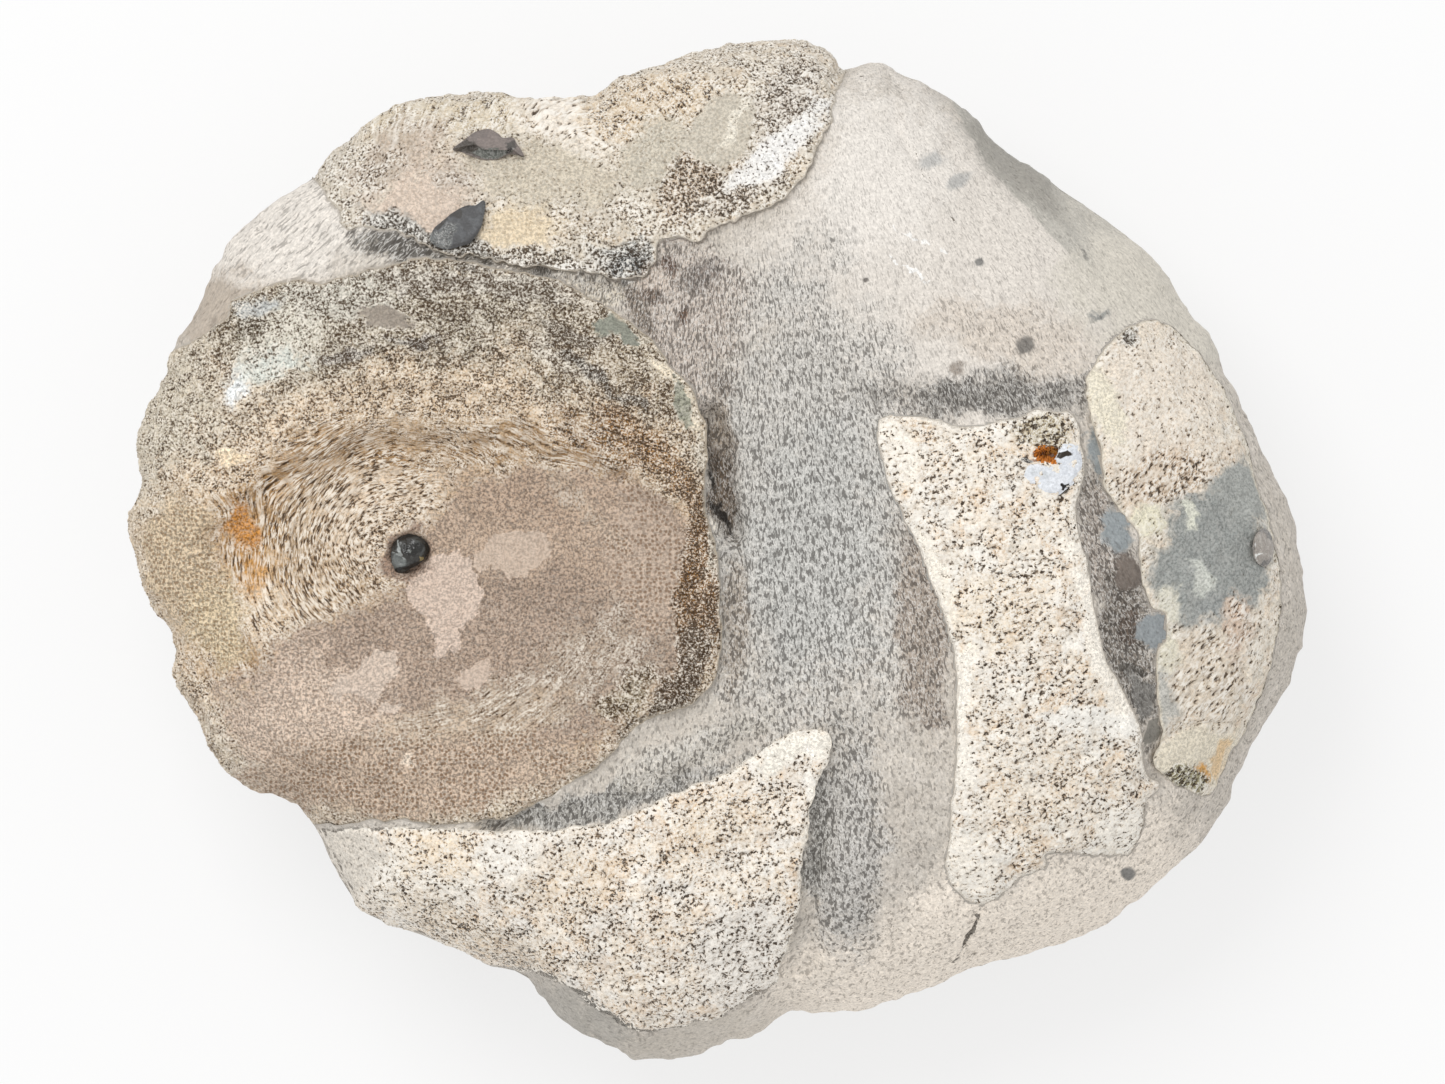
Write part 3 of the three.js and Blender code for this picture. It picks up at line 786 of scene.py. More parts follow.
ROUND_PATCHES = [
    Patch(-53, 8, 6, 14, 8, 0.5, (190, 179, 159), 0.7),
    Patch(-27, 21.5, 27, 8, -8, 0.5, (170, 159, 139), 0.95),
    Patch(-11, 16, 10, 5, -42, 0.5, (164, 148, 124), 1.0),
    Patch(-28, -2.5, 30, 20.5, 0, 0.25, (218, 192, 160), 0.85, hole=0.76),
    Patch(-42.3, 22, 3.8, 3.4, 0, 0.6, (206, 201, 186), 0.75),
    Patch(-38, 25.4, 5, 2.2, 0, 0.5, (186, 182, 170), 0.8),
    Patch(-22, 26.4, 12, 1.3, -4, 0.6, (170, 164, 154), 1.2, strength=0.8),
    Patch(-46.4, 22.8, 1.6, 1.2, 0, 0.6, (156, 150, 134), 1.0),
    Patch(-48.6, 9.4, 1.5, 0.9, 0, 0.3, (228, 210, 182), 0.1),
    Patch(-45.4, 24.6, 1.8, 1.1, 0, 0.6, (176, 178, 176), 0.4),
    Patch(-47.6, 16.6, 1.5, 1.7, 10, 0.7, (226, 229, 230), 0.2),
    Patch(-43.8, 18.6, 4.2, 1.5, 12, 0.7, (206, 210, 202), 0.5),
    Patch(-37.2, 19.8, 2.4, 0.6, 4, 0.5, (140, 133, 125), 1.0),
    Patch(-30.5, 20.6, 2.8, 0.5, -4, 0.5, (124, 117, 110), 1.0),
    Patch(-33.2, 23.0, 2.3, 0.95, -6, 0.25, (150, 140, 128), 0.02, 0.0, 0.0),
    Patch(-9.4, 21.4, 2.4, 1.0, -32, 0.2, (132, 134, 122), 0.02),
    Patch(-15, 18.8, 3.4, 1.2, -34, 0.7, (214, 206, 192), 0.8, strength=0.8),
    Patch(-11.6, 17.4, 4.6, 0.7, -38, 0.5, (112, 106, 98), 1.1),
    Patch(-13.5, 21.6, 3.6, 0.9, -26, 0.5, (122, 116, 107), 1.1, strength=0.6),
    Patch(-4.4, 16.6, 4.8, 0.9, -55, 0.4, (222, 209, 186), 0.5),
    Patch(-4.0, 15.0, 0.8, 2.4, 18, 0.25, (140, 140, 124), 0.2),
    Patch(-26.5, -5, 25.5, 15.4, 0, 0.3, (178, 154, 127), 0.4),
    Patch(-38.5, 2.2, 12.0, 8.8, 25, 0.22, (190, 166, 137), 0.66, 1.0),
    Patch(-33.5, 3.6, 6.5, 4.6, 20, 0.4, (206, 184, 158), 0.62, 1.0),
    Patch(-46.4, 1.4, 3.6, 7.4, 0, 0.5, (182, 146, 100), strength=0.9),
    # ochre-brown ring round the dish, darkened in part as painted shade below the ledge step; the next patch
    # carries it on at the upper right
    Patch(-26.5, -4, 27.8, 17.6, -2, 0.2, (158, 124, 82), 0.5, 0.8, hole=0.78, strength=0.9),
    Patch(-12.0, 10.8, 6.5, 2.0, -30, 0.6, (142, 108, 66), 0.8, 0.4, strength=0.9),
    Patch(-45.2, -6.0, 3.6, 3.2, 0, 0.5, (214, 190, 160), 0.7, 0.6),
    Patch(-14.5, -2.2, 16, 10.0, -3, 0.08, (168, 147, 128), 0.1, 0.0, 0.0),
    Patch(-20, 5.2, 6, 2.2, -12, 0.6, (160, 138, 119), 0.12, strength=0.7),
    Patch(-20, -11, 17, 9, 0, 0.4, (151, 132, 116), 0.12, 0.0, 0.2),
    Patch(-30, -14.5, 20, 9.5, 6, 0.2, (160, 141, 125), 0.12, 0.0, 0.4),
    Patch(-10.5, -9.5, 6, 4, 40, 0.8, (142, 125, 108), 0.6, 0.5, strength=0.5),
    Patch(-19, -14.5, 5, 2, 20, 0.8, (152, 135, 118), 0.6, 0.6, strength=0.4),
    Patch(-41, -17, 8.5, 7, 10, 0.6, (193, 174, 157), 0.12, 0.0, 0.3),
    Patch(-6.8, 0.0, 4.0, 7.6, 6, 0.35, (176, 157, 140), 0.05, 0.0, 0.9),
    Patch(-29, -22.3, 17, 4.6, 4, 0.4, (178, 158, 139), 0.15, 0.0, 1.0),
    Patch(-14.0, 5.0, 5.6, 0.8, -46, 0.8, (168, 150, 129), 0.5, 0.5, strength=0.35),
    Patch(-13.5, -11, 6, 2.6, 40, 0.7, (168, 149, 128), 0.5, 0.6, strength=0.35),
    Patch(-24.5, -16.4, 9.5, 2.4, 8, 0.6, (178, 159, 136), 0.55, 0.9, strength=0.6),
    Patch(-9, -14.5, 2.6, 2.4, 30, 0.5, (150, 134, 106), 1.1),
    # partly painted shade: these four brown patches along the dish's right rim are darkened to stand for the
    # shadow of the crevice beside it, over the bone's own brown
    Patch(-1.8, -3.5, 1.8, 9.8, -3, 0.5, (150, 112, 66), 1.4, 0.0, 0.0),
    Patch(-5.6, 8.8, 6.6, 1.9, -44, 0.5, (168, 130, 84), 1.4),
    Patch(-3.0, -11.8, 2.0, 5.0, -24, 0.5, (104, 82, 56), 1.2),
    Patch(-5.4, -16.2, 4.6, 1.3, 38, 0.5, (108, 92, 72), 1.0),
    Patch(-1.3, 9.4, 0.5, 2.6, 4, 0.5, (206, 195, 176), 0.6),
    Patch(0.0, 0.6, 0.5, 2.4, -10, 0.5, (196, 186, 170), 0.8),
    Patch(-53.2, -1.5, 4, 7.5, 12, 0.35, (192, 173, 146), 0.12, 0.0, 0.9),
    Patch(-50.2, -7, 3.4, 4.5, 20, 0.4, (198, 180, 150), 0.15, 0.0, 0.8),
    Patch(-47.4, 2.9, 1.7, 2.7, 0, 0.45, (180, 121, 46), 0.14, 0.0, 0.3, strength=0.95),
    Patch(-46.6, -1.9, 1.4, 2.4, 10, 0.6, (184, 134, 68), 0.3, strength=0.8),
    Patch(-27.3, -4.0, 3.1, 3.2, 20, 0.04, (197, 178, 163), 0.05, 0.0, 0.0, uneven=0.7),
    Patch(-27.3, -7.6, 1.3, 2.7, 6, 0.04, (197, 178, 163), 0.05, 0.0, 0.0, uneven=0.45),
    Patch(-20.4, -0.2, 4.4, 1.8, 10, 0.06, (190, 171, 154), 0.02, 0.0, 0.0, uneven=0.55),
    Patch(-24.0, -12.0, 2.0, 1.2, 30, 0.05, (192, 173, 157), 0.02, 0.0, 0.0, uneven=0.5),
    Patch(-35.2, -12.6, 3.4, 2.0, 40, 0.05, (197, 180, 165), 0.05, 0.0, 0.0, uneven=0.7),
    Patch(-33.0, -15.2, 1.6, 0.9, 10, 0.08, (197, 180, 165), 0.05, 0.0, 0.0, uneven=0.4),
    Patch(-31.5, -20.6, 1.0, 0.9, 0, 0.3, (212, 196, 178), 0.1),
    Patch(-30.8, -0.2, 2.9, 2.9, 0, 0.3, (136, 114, 98), 0.15, 0.0, 0.0),
]
SEAM_PATCHES = [  # the crumbled seam between this vertebra and the upper one, which both and the mud share
    Patch(-31.0, 30.6, 3.4, 1.0, -14, 0.6, (112, 108, 102), 1.0, strength=0.9),
    Patch(-24.2, 29.4, 3.6, 1.3, -10, 0.6, (120, 116, 109), 1.1, strength=0.9),
    Patch(-19.6, 28.6, 1.8, 0.7, -12, 0.5, (236, 230, 219), 1.2),
    Patch(-17.0, 27.6, 2.2, 0.6, -14, 0.5, (124, 119, 112), 1.1),
    Patch(-14.4, 27.7, 1.7, 0.8, -16, 0.5, (243, 239, 231), 0.9),
    Patch(-11.6, 28.4, 1.2, 1.4, 10, 0.6, (222, 216, 206), 1.1),
    Patch(-9.0, 28.3, 2.0, 1.5, -10, 0.5, (98, 100, 100), 1.1),
    Patch(-8.2, 27.1, 1.2, 0.5, -20, 0.5, (232, 230, 224), 1.0),
    Patch(-5.8, 26.8, 1.6, 1.3, 30, 0.6, (198, 184, 171), 1.0),
    Patch(-12.6, 25.4, 2.8, 0.8, -24, 0.6, (204, 194, 178), 1.1),
    Patch(-7.6, 23.8, 1.8, 1.0, -38, 0.6, (134, 122, 110), 1.0),
]
ROUND_PATCHES += SEAM_PATCHES


def round_flow(x, y, z):
    """Round the pit, so that the bone's sheets lie in rings. Farther out they follow the ledge instead."""
    heading = np.arctan2(y - ROUND_CENTRE[1], x - ROUND_CENTRE[0])
    away = np.hypot(x - ROUND_CENTRE[0], y - ROUND_CENTRE[1])
    ledge = 16.8 * np.hypot((x + 26.5) / 28, (y + 4) / 16.8)
    level = away + (ledge - away) * ramp(away, 10, 16) * ramp(y, 3, 8)
    sway = 0.8 * mottle(x, y, 5.0, 21)
    return 11 * np.cos(heading), 11 * np.sin(heading), (level + sway) * 4.4


def round_face(x, y, z, rim):
    """The hollow face: a funnel down to the pit, low rings, and a rounded worn edge."""
    away = np.hypot(x - ROUND_CENTRE[0], y - ROUND_CENTRE[1])
    funnel = DISH_RIM - DISH_DEPTH + DISH_DEPTH * (away / DISH_RADIUS) ** 1.3 + 0.1 * (x - ROUND_CENTRE[0])
    z = lower_of(z, funnel, 0.9)
    z = z + 0.16 * np.sin((away + 1.2 * mottle(x, y, 6.0, 22)) * 1.5) * ramp(away, 4, 9)
    ledge = np.hypot((x + 26.5) / 28, (y + 4) / 16.8) + 0.03 * stray(x, y)
    z = z + 1.5 * (ramp(ledge, 0.86, 1.0) - 0.6) * ramp(y, -14, 4)
    z = risen(z, x, y, ROUND_PATCHES)
    pit = np.hypot(x + 30.6, y + 0.3)
    z = z - 1.3 * (1 - ramp(pit, 1.8, 2.3)) - 0.5 * np.exp(-((away / 4.5) ** 2))
    return z - worn_edge(rim, 0.42, 0.5)


round_fields = fields_for(round_flow, ROUND_BASE, ROUND_PATCHES)
round_finish = bone_finish(
    "round_vertebra_bone", (206, 190, 166), ROUND_MOTTLES, ROUND_PATCHES, rim_colour=(196, 184, 164),
    rim_width=0.35, pore_colour=(82, 66, 50), fineness=4.2, wall_colour=(253, 245, 232), speckle=1.0,
)
round_loop = ragged(smooth_loop(ROUND_OUTLINE, 0.25), 0.22, 11)
round_space = worn_piece(
    "round_vertebra", "vertebra_round", "fossil_bone", round_loop, floor=ROUND_FLOOR, lift=0.5,
    spacing=0.21, face=round_face, fields_of=round_fields, finish=round_finish, fineness=4.2,
)

# ---------------------------------------------------------------------------------------------------
# The upper vertebra: a centrum that lies tilted, so that its shallow hollow faces up and to the front.
# It is fossil bone with a thin smooth skin in the hollow and open sponge on its edges, and the hard
# mud round it holds it.
# ---------------------------------------------------------------------------------------------------
UPPER_FLOOR = 20
UPPER_OUTLINE = [
    (-43, 40), (-40.2, 37.3), (-39.0, 35.7), (-37.1, 32.2), (-33.9, 32.5), (-27.7, 30.1),
    (-21.7, 28.9), (-15.7, 28.1), (-11.7, 27.6), (-7.2, 27.4), (-5.6, 30.6), (-1.9, 31.1),
    (0.5, 32.4), (3.9, 33.8), (6.9, 35.2), (8.7, 37.5), (10.2, 40.3), (11.1, 42.1), (11.6, 45),
    (13.2, 50), (10, 54), (2, 54), (-8, 51), (-16, 49), (-27, 50), (-37, 46),
]
UPPER_BASE = dict(open=0.5, drawn=0.0, pins=0.0, gloss=0.0)
UPPER_MOTTLES = [((232, 222, 206), 2.5, 0.6), ((192, 166, 132), 2.6, 0.4), ((172, 164, 150), 3.5, 0.4)]
UPPER_PATCHES = [
    Patch(-37, 36, 4, 7, 20, 0.5, (196, 185, 168), 0.5),
    Patch(-27, 43.5, 9, 2.2, 4, 0.5, (204, 190, 166), 0.6, 0.5),
    Patch(-32, 39.2, 5, 3, 25, 0.5, (180, 164, 146), 0.35),
    Patch(-29.5, 35, 6.5, 4.4, -8, 0.6, (204, 187, 171), 0.08, 0.0, 0.2),
    Patch(-17.2, 37.8, 7.4, 3.6, 0, 0.7, (197, 187, 169), 0.14, 0.0, 0.3),
    Patch(-19.2, 31.8, 4.6, 2.3, -6, 0.6, (216, 199, 171), 0.1, 0.0, 0.3),
    Patch(-26.6, 37.0, 2.4, 0.9, -20, 0.6, (172, 158, 143), 0.5, strength=0.7),
    Patch(-33.6, 37.8, 2.4, 1.8, 30, 0.7, (166, 152, 134), 0.6, strength=0.7),
    Patch(-15.2, 43.2, 5, 2.6, -30, 0.5, (228, 218, 204), 0.45, 1.0),
    Patch(-6.5, 44.4, 7.5, 3.2, 8, 0.5, (208, 188, 160), 0.75, 0.4),
    Patch(-6, 39.5, 4, 3, 40, 0.6, (193, 185, 169), 0.14, 0.0, 0.4),
    Patch(0.3, 42.2, 5.4, 2.8, 48, 0.14, (193, 185, 170), 0.08, 0.0, 0.2),
    Patch(2.2, 44.2, 4.4, 0.5, 62, 0.4, (220, 213, 198), 0.2),
    Patch(7.6, 45.0, 3.4, 4.8, 0, 0.5, (206, 197, 185), 0.95),
    Patch(5.4, 39.6, 7.5, 1.8, 41, 0.35, (232, 230, 227), 0.35),
    Patch(-2.6, 36.6, 3.2, 2.6, 20, 0.35, (200, 182, 160), 1.3),
    Patch(2, 35.6, 4, 1.2, 22, 0.5, (198, 186, 170), 1.0),
    Patch(-9.2, 28.8, 3.2, 2.0, 0, 0.4, (150, 149, 144), 0.8),
    Patch(-31.6, 31.9, 4.4, 1.2, -28, 0.6, (124, 122, 117), 0.6, strength=0.9),
    Patch(-25.6, 30.6, 3.0, 1.0, -6, 0.5, (106, 104, 100), 0.6),
    Patch(-17.6, 28.8, 7, 1.0, -12, 0.6, (222, 215, 202), 1.1),
] + SEAM_PATCHES


def upper_flow(x, y, z):
    heading = np.arctan2(y - 37, x + 12)
    away = np.hypot(x + 12, y - 37)
    return 8 * np.cos(heading), 8 * np.sin(heading), away * 3.0


def upper_face(x, y, z, rim):
    inside = 1 - ((x + 12) / 30) ** 2 - ((y - 38.5) / 13) ** 2
    z = lower_of(z, 53.5 - 13 * np.sqrt(inside.clip(0)), 0.5)
    return risen(z, x, y, UPPER_PATCHES) - worn_edge(rim, 0.1, 0.5)


upper_fields = fields_for(upper_flow, UPPER_BASE, UPPER_PATCHES)
upper_finish = bone_finish(
    "upper_vertebra_bone", (200, 188, 170), UPPER_MOTTLES, UPPER_PATCHES, rim_colour=(206, 198, 184),
    rim_width=0.3, pore_colour=(66, 56, 46),
)
upper_loop = ragged(smooth_loop(UPPER_OUTLINE, 0.25), 0.36, 12)
upper_space = worn_piece(
    "upper_vertebra", "vertebra_upper", "fossil_bone", upper_loop, floor=UPPER_FLOOR, lift=0.12,
    spacing=0.24, face=upper_face, fields_of=upper_fields, finish=upper_finish,
)

# ---------------------------------------------------------------------------------------------------
# The lower vertebra: part of a centrum, cut through by the beach's wear, so that only its pale open
# sponge shows. It runs under the rim of the round vertebra, and the hard mud holds it.
# ---------------------------------------------------------------------------------------------------
LOWER_FLOOR = 23
LOWER_OUTLINE = [
    (-42, -30), (-40.0, -27.9), (-31.7, -27.5), (-19.4, -27.9), (-12.9, -27.4), (-8.2, -26.0),
    (-3.8, -24.0), (0.7, -22.2), (3.6, -20.5), (6.5, -18.4), (9.5, -17.7), (11.2, -18.4),
    (11.5, -20.2), (10.2, -22.8), (9.5, -25.2), (8.8, -29.6), (8.3, -34.0), (7.7, -37.8),
    (6.5, -41.3), (6.2, -43.1), (3.6, -44.5), (0.1, -46.6), (-3.8, -47.5), (-6.8, -48.0),
    (-9.3, -47.6), (-11.8, -46.0), (-15.2, -43.4), (-19.4, -42.2), (-24, -44.5), (-34, -41), (-42, -34),
]
LOWER_BASE = dict(open=0.66, drawn=0.25, pins=0.0, gloss=0.0)
LOWER_MOTTLES = [((250, 244, 235), 2.5, 0.8), ((218, 188, 152), 2.4, 0.6), ((200, 194, 186), 4.0, 0.4)]
LOWER_PATCHES = [
    Patch(-30, -33, 7, 4, 0, 0.4, (246, 238, 225), 0.6),
    Patch(-27, -29.8, 5.5, 2.4, -5, 0.6, (240, 220, 192), 0.6, strength=0.8),
    Patch(-20.5, -30, 3.4, 3, 0, 0.4, (242, 235, 224), 0.45),
    Patch(-14, -33, 5, 3, 20, 0.5, (220, 198, 168), strength=0.45),
    Patch(0, -28, 5, 3, 30, 0.5, (220, 200, 172), strength=0.45),
    Patch(8.5, -19.6, 4, 1.6, 25, 0.4, (238, 232, 220), 0.15),
    Patch(3, -40, 5, 6, 0, 0.5, (238, 231, 221), 0.7),
    Patch(9.6, -24, 0.7, 6.0, 8, 0.5, (242, 236, 226), 0.2),
    Patch(-25, -37.6, 8, 1.8, -24, 0.6, (214, 192, 162), 0.9, strength=0.5),
    Patch(-37, -31, 3.5, 4, 0, 0.4, (214, 206, 194), 0.2),
]


def lower_flow(x, y, z):
    """Across the bone, and a little up to the right."""
    return (x + 0.4 * y) * 1.2, (y - 0.4 * x) * 2.3, z * 2.4


def lower_face(x, y, z, rim):
    return risen(z, x, y, LOWER_PATCHES) - worn_edge(rim, 0.42, 0.5)


lower_fields = fields_for(lower_flow, LOWER_BASE, LOWER_PATCHES)
lower_finish = bone_finish(
    "lower_vertebra_bone", (244, 231, 213), LOWER_MOTTLES, LOWER_PATCHES, rim_colour=(242, 236, 224),
    rim_width=0.6, pore_colour=(52, 42, 34), fineness=3.0,
)
lower_loop = ragged(smooth_loop(LOWER_OUTLINE, 0.25), 0.22, 13)
lower_space = worn_piece(
    "lower_vertebra", "vertebra_lower", "fossil_bone", lower_loop, floor=LOWER_FLOOR, lift=0.5,
    spacing=0.22, face=lower_face, fields_of=lower_fields, finish=lower_finish, without=[round_space],
    fineness=3.0,
)

# ---------------------------------------------------------------------------------------------------
# The middle vertebra: a centrum worn through lengthwise, so that its two hollow ends make an
# hourglass. It is pale open sponge with a close-grained border on its hollow sides, set in hard mud.
# ---------------------------------------------------------------------------------------------------
MIDDLE_FLOOR = 24
MIDDLE_OUTLINE = [
    (16.1, 13.0), (16.7, 8.4), (17.8, 5.2), (20.1, 0.3), (21.5, -3.1), (22.9, -7.0), (23.7, -10.3),
    (24.0, -13.8), (23.8, -21.6), (23.2, -28.7), (23.1, -32.4), (24.9, -34.7), (26.9, -35.2),
    (28.9, -33.9), (30.5, -32.4), (32.8, -31.5), (33.1, -30.1), (39.7, -30.4), (41.5, -29.9),
    (42.6, -27.6), (42.9, -25.0), (44.2, -23.4), (43.1, -22.5), (42.4, -19.8), (42.2, -17.5),
    (40.1, -13.3), (38.5, -9.8), (37.4, -4.7), (36.8, -1.3), (36.1, 1.5), (35.9, 4.2), (36.5, 8.6),
    (35.6, 13.4), (33.9, 13.9), (31.8, 14.1), (30.5, 13.4), (27.0, 12.7), (24.2, 12.4), (22.0, 13.2),
    (18.9, 13.3),
]
MIDDLE_BASE = dict(open=0.66, drawn=0.35, pins=0.0, gloss=0.0)
MIDDLE_MOTTLES = [((250, 245, 236), 2.5, 0.8), ((220, 190, 154), 2.2, 0.6), ((206, 200, 190), 4.0, 0.4)]
MIDDLE_PATCHES = [
    Patch(33.0, 9.6, 1.5, 0.9, -12, 0.15, (128, 78, 36), 0.3, rise=-1.5),
    Patch(32.7, 9.7, 0.9, 0.5, -15, 0.4, (206, 128, 46)),
    Patch(31.6, 9.2, 0.35, 0.5, 0, 0.4, (24, 18, 14)),
    Patch(34.1, 8.9, 0.6, 0.4, 0, 0.4, (40, 32, 24)),
    Patch(34.3, 6.3, 0.75, 0.45, -35, 0.15, (22, 20, 18), rise=-1.4),
    Patch(33.2, 11.9, 2.8, 1.9, 0, 0.5, (194, 182, 156), 1.0),
    Patch(18.4, 9.4, 1.8, 3.8, 12, 0.5, (243, 235, 222), 0.4),
    Patch(26.0, -31.4, 2.6, 3.6, 0, 0.5, (246, 238, 225), 0.45),
    Patch(40.8, -27.8, 2.2, 2.2, 0, 0.5, (246, 239, 227), 0.5),
    Patch(38.0, -8.6, 9.5, 1.1, -73, 0.5, (244, 237, 225), 0.15),
    Patch(24.4, -17, 10, 0.8, -92, 0.5, (244, 237, 225), 0.2),
    Patch(21.5, -2.4, 6, 0.8, -66, 0.5, (242, 234, 220), 0.25),
    Patch(37, -17, 5, 1, 0, 0.5, (244, 240, 232), 0.5),
    Patch(28, -6, 5, 4, 0, 0.5, (230, 213, 188), strength=0.5),
    Patch(33, -24, 5, 4, 0, 0.5, (240, 226, 206), strength=0.5),
]


def middle_flow(x, y, z):
    """Across the bone, and a little up to the right."""
    return (x + 0.35 * y) * 1.25, (y - 0.35 * x) * 2.4, z * 2.4


def middle_face(x, y, z, rim):
    return risen(z, x, y, MIDDLE_PATCHES) - worn_edge(rim, 0.5, 0.5)


middle_fields = fields_for(middle_flow, MIDDLE_BASE, MIDDLE_PATCHES)
middle_finish = bone_finish(
    "middle_vertebra_bone", (240, 228, 211), MIDDLE_MOTTLES, MIDDLE_PATCHES, rim_colour=(242, 236, 225),
    rim_width=0.7, pore_colour=(50, 41, 33), fineness=3.0,
)
middle_loop = ragged(smooth_loop(MIDDLE_OUTLINE, 0.2), 0.13, 14)
middle_space = worn_piece(
    "middle_vertebra", "vertebra_middle", "fossil_bone", middle_loop, floor=MIDDLE_FLOOR, lift=0.6,
    spacing=0.2, face=middle_face, fields_of=middle_fields, finish=middle_finish, fineness=3.0,
)

# ---------------------------------------------------------------------------------------------------
# The right vertebra: a centrum seen on its side, at the edge of the cobble. It is fossil bone, cream
# and drawn out in strands, with a smooth blue-grey skin over its middle.
# ---------------------------------------------------------------------------------------------------
RIGHT_FLOOR = 21
RIGHT_OUTLINE = [
    (37.7, 18.6), (36.9, 16.5), (37.4, 12.8), (38.8, 8), (38.7, 6.6), (39.8, 4.6), (41.2, 3),
    (42, 1.6), (42.1, -1), (42.5, -3.6), (43.4, -5.4), (44.7, -6.4), (44.8, -8.6), (43.9, -10.6),
    (43.8, -13), (44.5, -18), (43.6, -20.4), (44.9, -22.6), (48.9, -24.6),
    (51, -21), (54.2, -15.4), (56, -9), (56.3, -2), (54, 7), (51.5, 14.6), (47.2, 21), (43.6, 22.9),
    (40.4, 21.7),
]
RIGHT_BASE = dict(open=0.45, drawn=0.6, pins=0.0, gloss=0.0)
RIGHT_MOTTLES = [((242, 232, 216), 2.5, 0.6), ((208, 184, 158), 2.4, 0.5), ((150, 152, 148), 1.6, 0.3)]
RIGHT_PATCHES = [
    Patch(44.5, 14.5, 6.5, 8, 0, 0.4, (226, 214, 198), 0.4),
    Patch(45.5, 7.7, 4.2, 3.2, 10, 0.5, (208, 189, 167), 0.65, 0.9),
    Patch(41.2, 21, 1, 1.2, 0, 0.5, (154, 150, 142), 0.9),
    Patch(38.9, 14.5, 1.6, 4, 15, 0.4, (226, 218, 198), 0.15),
    Patch(49.6, -0.8, 6.2, 6.8, -12, 0.25, (140, 144, 142), 0.12, strength=0.95),
    Patch(53, 5.5, 2.6, 3.5, 20, 0.5, (156, 158, 154), 0.1),
    Patch(50.6, -7.0, 2.4, 2.0, 20, 0.5, (146, 149, 147), 0.15),
    Patch(43.1, 3.3, 1.5, 1.3, 0, 0.5, (222, 216, 192), 0.3),
    Patch(47.1, 3.3, 0.7, 1.4, 0, 0.5, (206, 206, 192)),
    Patch(45.2, -5.2, 1.4, 1.7, 0, 0.5, (212, 208, 192), 0.3),
    Patch(48.3, -2.2, 0.8, 1.8, 30, 0.6, (192, 194, 186)),
    Patch(44.2, -13.6, 2, 4.8, 0, 0.4, (180, 178, 171), 0.15),
    Patch(45.2, -10.2, 1, 1.6, 0, 0.5, (214, 208, 188), 0.3),
    Patch(49.4, -12, 3.6, 4.6, -20, 0.4, (212, 198, 179), 0.5, 0.8),
    Patch(52.2, -8, 1.4, 3.4, 0, 0.5, (202, 180, 160), 0.5, 0.8),
    Patch(48, -20.4, 4.5, 3, 0, 0.4, (218, 209, 190), 0.1),
    Patch(48.2, -22.3, 0.9, 1, 0, 0.4, (208, 158, 88)),
    Patch(50.4, -20.6, 1, 1.7, 0, 0.6, (216, 180, 128), strength=0.7),
    Patch(46.4, -23, 2.3, 1.5, -10, 0.4, (164, 158, 128), 1.2),
]
RIGHT_GROOVES = [([(43.4, -19.5), (45.9, -18), (47.4, -17.3), (49.2, -17), (52.1, -17.1)], 0.25, 0.4)]


def right_flow(x, y, z):
    return (x + y) * 0.8, (y - x) * 2.1, z * 3.0


def right_face(x, y, z, rim):
    return risen(grooved(z, x, y, RIGHT_GROOVES), x, y, RIGHT_PATCHES) - worn_edge(rim, 0.26, 0.5)


right_fields = fields_for(right_flow, RIGHT_BASE, RIGHT_PATCHES)
right_finish = bone_finish(
    "right_vertebra_bone", (222, 210, 192), RIGHT_MOTTLES, RIGHT_PATCHES, rim_colour=(222, 214, 196),
    rim_width=0.4, pore_colour=(70, 60, 50),
)
right_loop = ragged(smooth_loop(RIGHT_OUTLINE, 0.25), 0.2, 15)
right_space = worn_piece(
    "right_vertebra", "vertebra_right", "fossil_bone", right_loop, floor=RIGHT_FLOOR, lift=0.3,
    spacing=0.22, face=right_face, fields_of=right_fields, finish=right_finish,
)

# ---------------------------------------------------------------------------------------------------
# The matrix: hardened grey mud that fills the space between the bones and makes the cobble's body. It
# is fibrous between the bones, pale and close at the upper right, and worn smooth underneath.
# ---------------------------------------------------------------------------------------------------
UNDER_PLAN, UNDER_RISE = 2.8, 2.0
UNDERSIDE_SINK = 5
TOP_LINES = 353
UNDER_LINES = 89
MATRIX_GROOVES = [
    ([(-0.5, 13), (0.4, 9), (1.0, 5), (1.6, 2)], 1.1, 2.6),
    ([(1.4, -1), (1.6, -10), (-1, -15.5), (-7, -18.5), (-13, -23.5)], 1.2, 0.8),
    ([(-23, -27.6), (-12, -25.6), (-3, -22.3), (4, -18.6)], 1.3, 0.9),
    ([(12.6, -18.5), (11.6, -24), (10.4, -30), (9.6, -36), (8.4, -41)], 2.0, 1.5),
    ([(18.5, 0), (21.5, -6), (22.8, -12), (22.8, -19)], 2.2, 0.9),
    ([(37.2, 13), (37.9, 6), (38.6, 0), (40, -6), (41.6, -12), (43.3, -18), (44.4, -21.5)], 1.7, 0.8),
    ([(17, 14.7), (24, 14.2), (30, 15.2), (36, 14.8)], 1.5, 0.7),
    ([(-30, 31), (-20, 28.6), (-8, 27), (-5.2, 29.6), (2, 32), (8, 35.6), (11.2, 41)], 1.2, 0.8),
    ([(17.6, 42.7), (20.4, 38)], 0.35, 0.5),
    ([(26.3, -35.8), (24.8, -39.4), (26.4, -41.1)], 0.3, 0.6),
]
MATRIX_BASE = dict(open=0.3, drawn=1.0, pins=0.0, gloss=0.0)
MATRIX_MOTTLES = [((220, 212, 202), 4.0, 0.5), ((188, 179, 168), 3.0, 0.4), ((158, 153, 146), 1.2, 0.2)]
